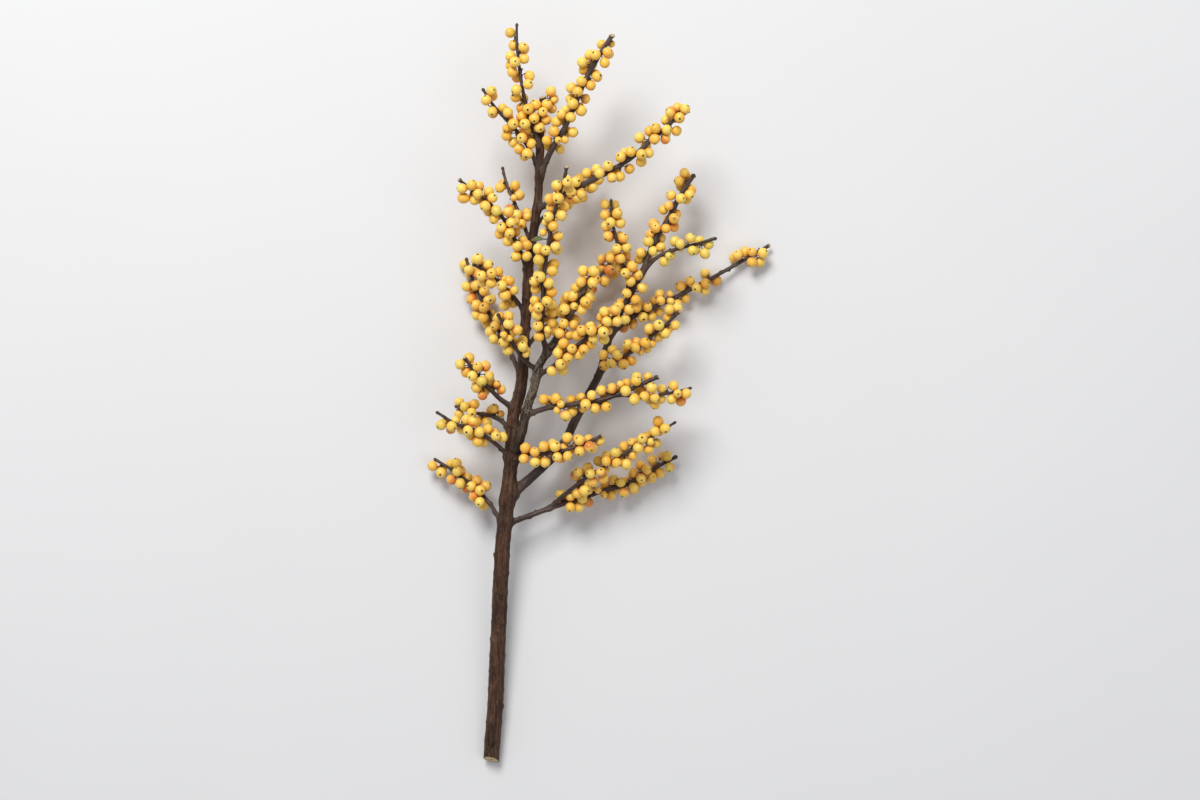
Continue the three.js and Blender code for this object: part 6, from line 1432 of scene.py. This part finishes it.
def berry(mesh, b, cell, rng):
    x0, y0, w = cell
    foot = b["cluster"]["foot"]
    front = unit(unit(b["at"] - foot) + 0.34 * rng.normal(size=3) * 0.7)
    A = axes_for(front, rng)
    xyz, dirs, deg, inside, ring, crease, scar = berry_shape(b, rng)
    co = b["at"] + b["r"] * (xyz @ A.T)
    world = dirs @ A.T
    # berries that press on one another have a flat where they touch
    gap = np.linalg.norm(middles - b["at"], axis=1)
    touch = np.where((gap < b["r"] + sizes + 0.25) & (gap > 0.01))[0]
    press = np.zeros(len(co))
    for j in touch:
        way = (middles[j] - b["at"]) / gap[j]
        at = (gap[j] ** 2 + b["r"] ** 2 - sizes[j] ** 2) / (2 * gap[j]) - 0.015
        over = (co - b["at"]) @ way - at
        hit = over > 0
        co[hit] -= over[hit, None] * way
        press = np.maximum(press, np.exp(-np.maximum(0, at + 0.25 - ((co - b["at"]) @ way)) / 0.5))
    co[:, 2] = np.maximum(co[:, 2], 0.0)
    # colours
    back = smooth(20, 180, deg)
    kind = rng.random()
    green_tip = b["cluster"]["shoot"].name == "right_tip_side"
    gold = np.clip(rng.normal(0.38, 0.23), 0.0, 1.0)
    if green_tip:
        gold = rng.uniform(0.0, 0.25)
    # painted shade: skin facing down and away from the key light is made more golden
    facing_from_key = smooth(-0.3, 1.0, world @ unit(np.array([0.12, -0.62, -0.78])))
    gold_and_shade = gold - 0.04 + 0.20 * facing_from_key + 0.40 * (back - 0.4) + 0.25 * noise(world * 1.3 + rng.uniform(-50, 50, 3), 31)
    strength = rng.uniform(0.0, 0.22) if kind < 0.50 else rng.uniform(0.25, 0.62) if kind < 0.84 else rng.uniform(0.60, 0.92)
    # painted shade: berries lower in the pile get a stronger orange blush
    painted_low_shade = np.clip(1 - (b["at"][2] - 8) / 75.0, 0, 1)
    strength = strength + 0.16 * painted_low_shade
    if green_tip:
        strength *= 0.15
    # the blush leans to the stalk side, which is real colour, and downwards, which is painted shade on the underside
    side = unit(rng.normal(size=3) + 1.1 * (-front) + np.array([0, 0, -0.7]))
    blush_and_shade = strength * (0.35 + 0.75 * smooth(-0.35, 0.95, world @ side)) + 0.17 * noise(world * 1.6 + rng.uniform(-50, 50, 3), 32) * (strength > 0.2)
    # painted shade: more orange where berries touch
    blush_and_shade += 0.12 * press * (strength > 0.1)
    green = (rng.uniform(0.1, 0.5) if rng.random() < 0.35 else rng.uniform(0, 0.12)) * np.exp(-(((deg - 11) / 13) ** 2))
    if green_tip:
        green = green + rng.uniform(0.25, 0.6) * (0.5 + 0.5 * smooth(180, 20, deg))
    elif rng.random() < 0.03:
        green = green + rng.uniform(0.2, 0.5)
    bruise = np.zeros(len(co))
    if rng.random() < 0.055:
        spot = unit(rng.normal(size=3))
        size = rng.uniform(0.70, 0.97)
        ragged = 0.26 * noise(world * 2.3 + rng.uniform(-50, 50, 3), 33) + 0.10 * noise(world * 5.5, 34)
        bruise = smooth(size, size + 0.30, world @ spot + ragged) * rng.uniform(0.45, 0.9)
    bruise = bruise + np.clip(crease * 6, 0, 0.22)
    rim = np.where(ring == 3, 1.0, 0.0) + np.where(ring == 2, 0.8, 0.0) + np.where(ring == 4, 0.25, 0.0)
    rim = rim + np.exp(-(((180 - deg) / 7) ** 2))
    tone = np.stack([gold_and_shade, blush_and_shade, np.broadcast_to(green, gold_and_shade.shape), bruise], 1)
    # painted shade: sides facing down and away from the key light, or lying against other berries, are painted deeper
    # amber
    painted_shade = np.zeros(len(co))
    for j in np.where((gap < b["r"] + sizes + 7.0) & (gap > 0.01))[0]:
        d = middles[j] - co
        l = np.linalg.norm(d, axis=1)
        painted_shade += np.clip(np.einsum("ij,ij->i", world, d) / l, 0, 1) * (sizes[j] / l) ** 2
    painted_shade = np.clip(0.62 * facing_from_key + 0.75 * painted_shade, 0, 1)
    place = np.stack([deg / 180, np.full(len(co), b["id"] * 0.137 % 1.0), rim, painted_shade], 1)
    first = mesh.points(co, tone, place)
    corners, where = ring_quads(first + 1, N_RINGS, SIDES)
    ringi = where[:, 0, 0]
    mats = np.where(ringi < 2, 1, 0)
    share = np.concatenate([RINGS, [np.pi]]) / np.pi
    vmap = lambda i: y0 + w * (0.02 + 0.80 * (0.10 * np.minimum(i, 3) / 3 + 0.90 * np.clip((share[np.minimum(i, N_RINGS)] - share[3] * (i >= 3)) / (1 - share[3]), 0, 1) * (i >= 3)))
    umap = lambda j: x0 + w * (0.02 + 0.96 * j / SIDES)
    uv = np.stack([umap(where[..., 1]), vmap(where[..., 0])], -1)
    mesh.quads(corners, uv, mats)
    j = np.arange(SIDES)
    k = (j + 1) % SIDES
    tri = np.stack([np.full(SIDES, first), first + 1 + k, first + 1 + j], 1)
    low = y0 + w * 0.005
    uvt = np.stack([np.stack([umap(j + 0.5), np.full(SIDES, low)], 1), np.stack([umap(j + 1), np.full(SIDES, vmap(np.array(0)))], 1), np.stack([umap(j), np.full(SIDES, vmap(np.array(0)))], 1)], 1)
    mesh.quads(tri, uvt, 1)
    last = first + 1 + (N_RINGS - 1) * SIDES
    tri = np.stack([np.full(SIDES, last + SIDES), last + j, last + k], 1)
    top = vmap(np.array(N_RINGS - 1))
    uvt = np.stack([np.stack([umap(j + 0.5), np.full(SIDES, top + w * 0.03)], 1), np.stack([umap(j), np.full(SIDES, top)], 1), np.stack([umap(j + 1), np.full(SIDES, top)], 1)], 1)
    mesh.quads(tri, uvt, 0)
    return front


def stalk(mesh, b, front, cell, rng):
    x0, y0, w = cell
    foot, out = b["cluster"]["foot"], b["cluster"]["out"]
    end = b["at"] - front * b["r"] * 0.905
    span = np.linalg.norm(end - foot)
    lead = unit(out + 0.6 * unit(end - foot))
    p0 = foot - out * 0.25 + 0.25 * unit(end - foot)
    p1 = p0 + lead * 0.38 * span
    p2 = end - front * min(0.36 * span, 1.6)
    t = np.linspace(0, 1, 7)[:, None]
    line = (1 - t) ** 3 * p0 + 3 * t * (1 - t) ** 2 * p1 + 3 * t**2 * (1 - t) * p2 + t**3 * end
    # it passes beside the other berries
    near = [o for o in b["cluster"]["berries"] if o is not b]
    for _ in range(6):
        for o in near:
            d = line[1:-2] - o["at"]
            l = np.linalg.norm(d, axis=1, keepdims=True)
            line[1:-2] += np.where(l < o["r"] + 0.45, d / l * (o["r"] + 0.45 - l), 0)
        d = line[1:-2] - b["at"]
        l = np.linalg.norm(d, axis=1, keepdims=True)
        line[1:-2] += np.where(l < b["r"] + 0.1, d / l * (b["r"] + 0.1 - l), 0)
        line[1:-1] = 0.6 * line[1:-1] + 0.2 * (line[:-2] + line[2:])
    # the calyx disc sits on the stalk's end, in the pit of the berry
    inner = end + front * 0.35
    disc = end - front * 0.28
    line = np.vstack([line[:-1], disc, end, inner])
    radii = [0.78, 0.56, 0.50, 0.47, 0.47, 0.52, 0.86, 1.02, 0.5]
    tone_id = b["id"] * 0.317 % 1.0
    place = np.stack([np.linspace(0, 1, len(line)), np.full(len(line), tone_id), np.zeros(len(line)), np.zeros(len(line))], 1)
    tube(mesh, line, radii, 6, place, (x0 + w * 0.02, y0 + w * 0.90, w * 0.96, w * 0.085), 2, None, rng, 0.05)


def knob(mesh, c, box, rng):
    """The short spur that the stalks of a cluster share, with its bud scales."""
    out = c["out"]
    x = np.array([-2.1, -0.9, -0.1, 0.35, 0.75, 1.0])
    r = np.array([1.95, 1.75, 1.52, 1.22, 0.80, 0.30]) * rng.uniform(0.9, 1.12)
    along = c["shoot"].tangent(c["s"])
    drift = 0.25 * along
    line = c["foot"] + out * x[:, None] + drift * np.linspace(0, 1, len(x))[:, None]
    place = np.zeros((len(x), 4))
    tube(mesh, line, r, 9, place, box, 3, None, rng, 0.07)


for node_name in FRUIT_NODES:
    mesh = Cloth()
    mine = [c for c in clusters if c["node"] == node_name]
    fruit = [b for c in mine for b in c["berries"]]
    knobs_a_cell = 9
    total = len(fruit) + int(math.ceil(len(mine) / knobs_a_cell))
    for k, b in enumerate(fruit):
        rng = np.random.default_rng(9000 + b["id"])
        front = berry(mesh, b, cell_of(k, total), rng)
        stalk(mesh, b, front, cell_of(k, total), rng)
    for k, c in enumerate(mine):
        x0, y0, w = cell_of(len(fruit) + k // knobs_a_cell, total)
        i = k % knobs_a_cell
        box = (x0 + w * (i % 3) / 3 + 0.01 * w, y0 + w * (i // 3) / 3 + 0.01 * w, w * 0.31, w * 0.31)
        knob(mesh, c, box, np.random.default_rng(5000 + k + 31 * len(fruit)))
    ob = mesh.object(node_name + "_fruit", [BERRY_SKIN, BERRY_SCAR, STALK_SKIN, KNOB_BARK])
    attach(ob, "root")
    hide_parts(node_name)

# ------------------------------------------------------------------ the leaf

def leaf_skin():
    n = Nodes("leaf")
    _, along, across, edge, vein = n.attribute("tone")
    where = n.position()
    tone = n.noise(where, 0.55, 5.0, 0.65, 0.6)
    fine = n.noise(where, 3.0, 4.0, 0.6)
    colour = n.mix(n.range(tone, 0.3, 0.7), (0.050, 0.078, 0.018), (0.115, 0.140, 0.034))
    dry = n.math("ADD", n.math("MULTIPLY", edge, 0.8), n.math("MULTIPLY", tone, 0.6))
    colour = n.mix(n.range(dry, 0.62, 1.0), colour, (0.115, 0.062, 0.024))
    colour = n.mix(n.math("MULTIPLY", vein, 0.5), colour, (0.20, 0.21, 0.075))
    n.link(colour, n.bsdf.inputs["Base Color"])
    n.link(n.range(fine, 0.3, 0.7, 0.42, 0.62), n.bsdf.inputs["Roughness"])
    n.link(n.bump(n.math("ADD", fine, n.math("MULTIPLY", vein, 1.5)), 0.4, 0.0003), n.bsdf.inputs["Normal"])
    return n.mat


def leaf():
    foot, way, face = (np.array(v, float) for v in LEAF)
    way = unit(way)
    face = unit(face - way * (face @ way))
    side = np.cross(face, way)
    length, nu, nv = 16.2, 44, 20
    u = np.linspace(0, 1, nu)
    half = np.interp(u, [0, 0.16, 0.24, 0.36, 0.52, 0.70, 0.86, 0.96, 1.0], [0.36, 0.34, 0.9, 2.45, 3.25, 2.75, 1.55, 0.5, 0.08])
    teeth = 0.16 * (1 - ((u * 19) % 1.0)) * smooth(0.3, 0.4, u) * (1 - smooth(0.92, 1.0, u))
    half = half + teeth
    v = np.linspace(-1, 1, nv)
    Ug, Vg = np.meshgrid(u, v, indexing="ij")
    x = Ug * length
    y = Vg * half[:, None] * np.cos(0.35 * Vg)
    blade = smooth(0.2, 0.45, Ug)
    rise = 0.85 * blade * abs(Vg) ** 1.6 * np.minimum(half, 3.2)[:, None] / 3.2 + 0.9 * np.sin(Ug * 2.6) * 0.6 - 1.3 * Ug**3
    rise += 0.16 * np.sin(Ug * 40 + abs(Vg) * 5) * blade * abs(Vg)
    vein = np.exp(-((Vg * half[:, None] / 0.22) ** 2)) + 0.6 * np.exp(-((((Ug * 9 - abs(Vg) * 1.1) % 1.0 - 0.5) / 0.09) ** 2)) * blade * (1 - abs(Vg) ** 3)
    thick = 0.14 + 0.24 * np.exp(-((Vg * half[:, None] / 0.4) ** 2)) + 0.3 * (1 - smooth(0.14, 0.26, Ug))
    pts = lambda lift: foot + x[..., None] * way + y[..., None] * side + (rise + lift)[..., None] * face
    over, under = pts(thick + 0.05 * vein), pts(-thick)
    edge = np.maximum(abs(Vg) ** 4, Ug**6)
    tone = np.stack([Ug, Vg * 0.5 + 0.5, edge, np.clip(vein, 0, 1)], -1).reshape(-1, 4)
    mesh = Cloth()
    a = mesh.points(over.reshape(-1, 3), tone)
    b = mesh.points(under.reshape(-1, 3), tone)
    i, j = np.meshgrid(np.arange(nu - 1), np.arange(nv - 1), indexing="ij")
    i, j = i.ravel(), j.ravel()
    id_ = lambda base, p, q: base + p * nv + q
    up = np.stack([id_(a, i, j), id_(a, i + 1, j), id_(a, i + 1, j + 1), id_(a, i, j + 1)], 1)
    dn = np.stack([id_(b, i, j), id_(b, i, j + 1), id_(b, i + 1, j + 1), id_(b, i + 1, j)], 1)
    g = lambda p, q, off: np.stack([0.02 + 0.96 * p / (nu - 1), off + 0.45 * q / (nv - 1)], -1)
    uvu = np.stack([g(i, j, 0.52), g(i + 1, j, 0.52), g(i + 1, j + 1, 0.52), g(i, j + 1, 0.52)], 1)
    uvd = np.stack([g(i, j, 0.02), g(i, j + 1, 0.02), g(i + 1, j + 1, 0.02), g(i + 1, j, 0.02)], 1)
    mesh.quads(up, uvu)
    mesh.quads(dn, uvd)
    rim = [(p, 0) for p in range(nu)] + [(nu - 1, q) for q in range(1, nv)] + [(p, nv - 1) for p in range(nu - 2, -1, -1)] + [(0, q) for q in range(nv - 2, 0, -1)]
    rim = np.array(rim)
    nxt = np.roll(rim, -1, axis=0)
    edge_quads = np.stack([id_(a, rim[:, 0], rim[:, 1]), id_(b, rim[:, 0], rim[:, 1]), id_(b, nxt[:, 0], nxt[:, 1]), id_(a, nxt[:, 0], nxt[:, 1])], 1)
    c = np.arange(len(rim)) / len(rim)
    e = lambda t, w: np.stack([0.01 + 0.98 * t, np.full(len(t), w)], -1)
    mesh.quads(edge_quads, np.stack([e(c, 0.992), e(c, 0.982), e(c + 1 / len(rim), 0.982), e(c + 1 / len(rim), 0.992)], 1))
    ob = mesh.object("leaf_blade", [leaf_skin()])
    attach(ob, "root")
    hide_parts("leaf_remnant")


leaf()

# ----------------------------------------------------- surface, light, camera

def floor():
    me = bpy.data.meshes.new("floor")
    w, n = 5.0, 24
    co = [(-w + 2 * w * i / n, -w + 2 * w * j / n, -0.0003) for i in range(n + 1) for j in range(n + 1)]
    at = lambda i, j: i * (n + 1) + j
    me.from_pydata(co, [], [(at(i, j), at(i + 1, j), at(i + 1, j + 1), at(i, j + 1)) for i in range(n) for j in range(n)])
    ob = bpy.data.objects.new("floor", me)
    bpy.context.scene.collection.objects.link(ob)
    n_ = Nodes("floor")
    where = n_.position()
    n_.link(n_.mix(n_.noise(where, 0.004, 2.0), (0.695, 0.703, 0.725), (0.72, 0.728, 0.75)), n_.bsdf.inputs["Base Color"])
    n_.bsdf.inputs["Roughness"].default_value = 0.85
    n_.bsdf.inputs["Specular IOR Level"].default_value = 0.15
    me.materials.append(n_.mat)


floor()


def lamp(name, at, target, size, power, colour=(1, 1, 1)):
    data = bpy.data.lights.new(name, "AREA")
    data.shape = "DISK"
    data.size = size
    data.energy = power
    data.color = colour
    ob = bpy.data.objects.new(name, data)
    ob.location = at
    ob.rotation_euler = (Vector(target) - Vector(at)).to_track_quat("-Z", "Y").to_euler()
    bpy.context.scene.collection.objects.link(ob)


lamp("key", (-0.75, 2.0, 2.6), (0, 0.05, 0.05), 1.5, 100, (1.0, 0.985, 0.95))
lamp("fill", (1.5, -0.9, 3.0), (0, 0, 0.05), 2.4, 16, (1.0, 0.99, 0.97))

world = bpy.data.worlds.new("studio")
world.use_nodes = True
world.node_tree.nodes["Background"].inputs[0].default_value = (0.98, 0.985, 1.0, 1)
world.node_tree.nodes["Background"].inputs[1].default_value = 0.40
scene = bpy.context.scene
scene.world = world
scene.view_settings.view_transform = "Standard"

camera = bpy.data.cameras.new("camera")
camera.sensor_fit = "HORIZONTAL"
camera.sensor_width = 36
camera.lens = 80
camera.clip_end = 50
eye = bpy.data.objects.new("camera", camera)
eye.location = (0, 0, 2.6)
eye.rotation_euler = (0, 0, 0)
scene.collection.objects.link(eye)
scene.camera = eye
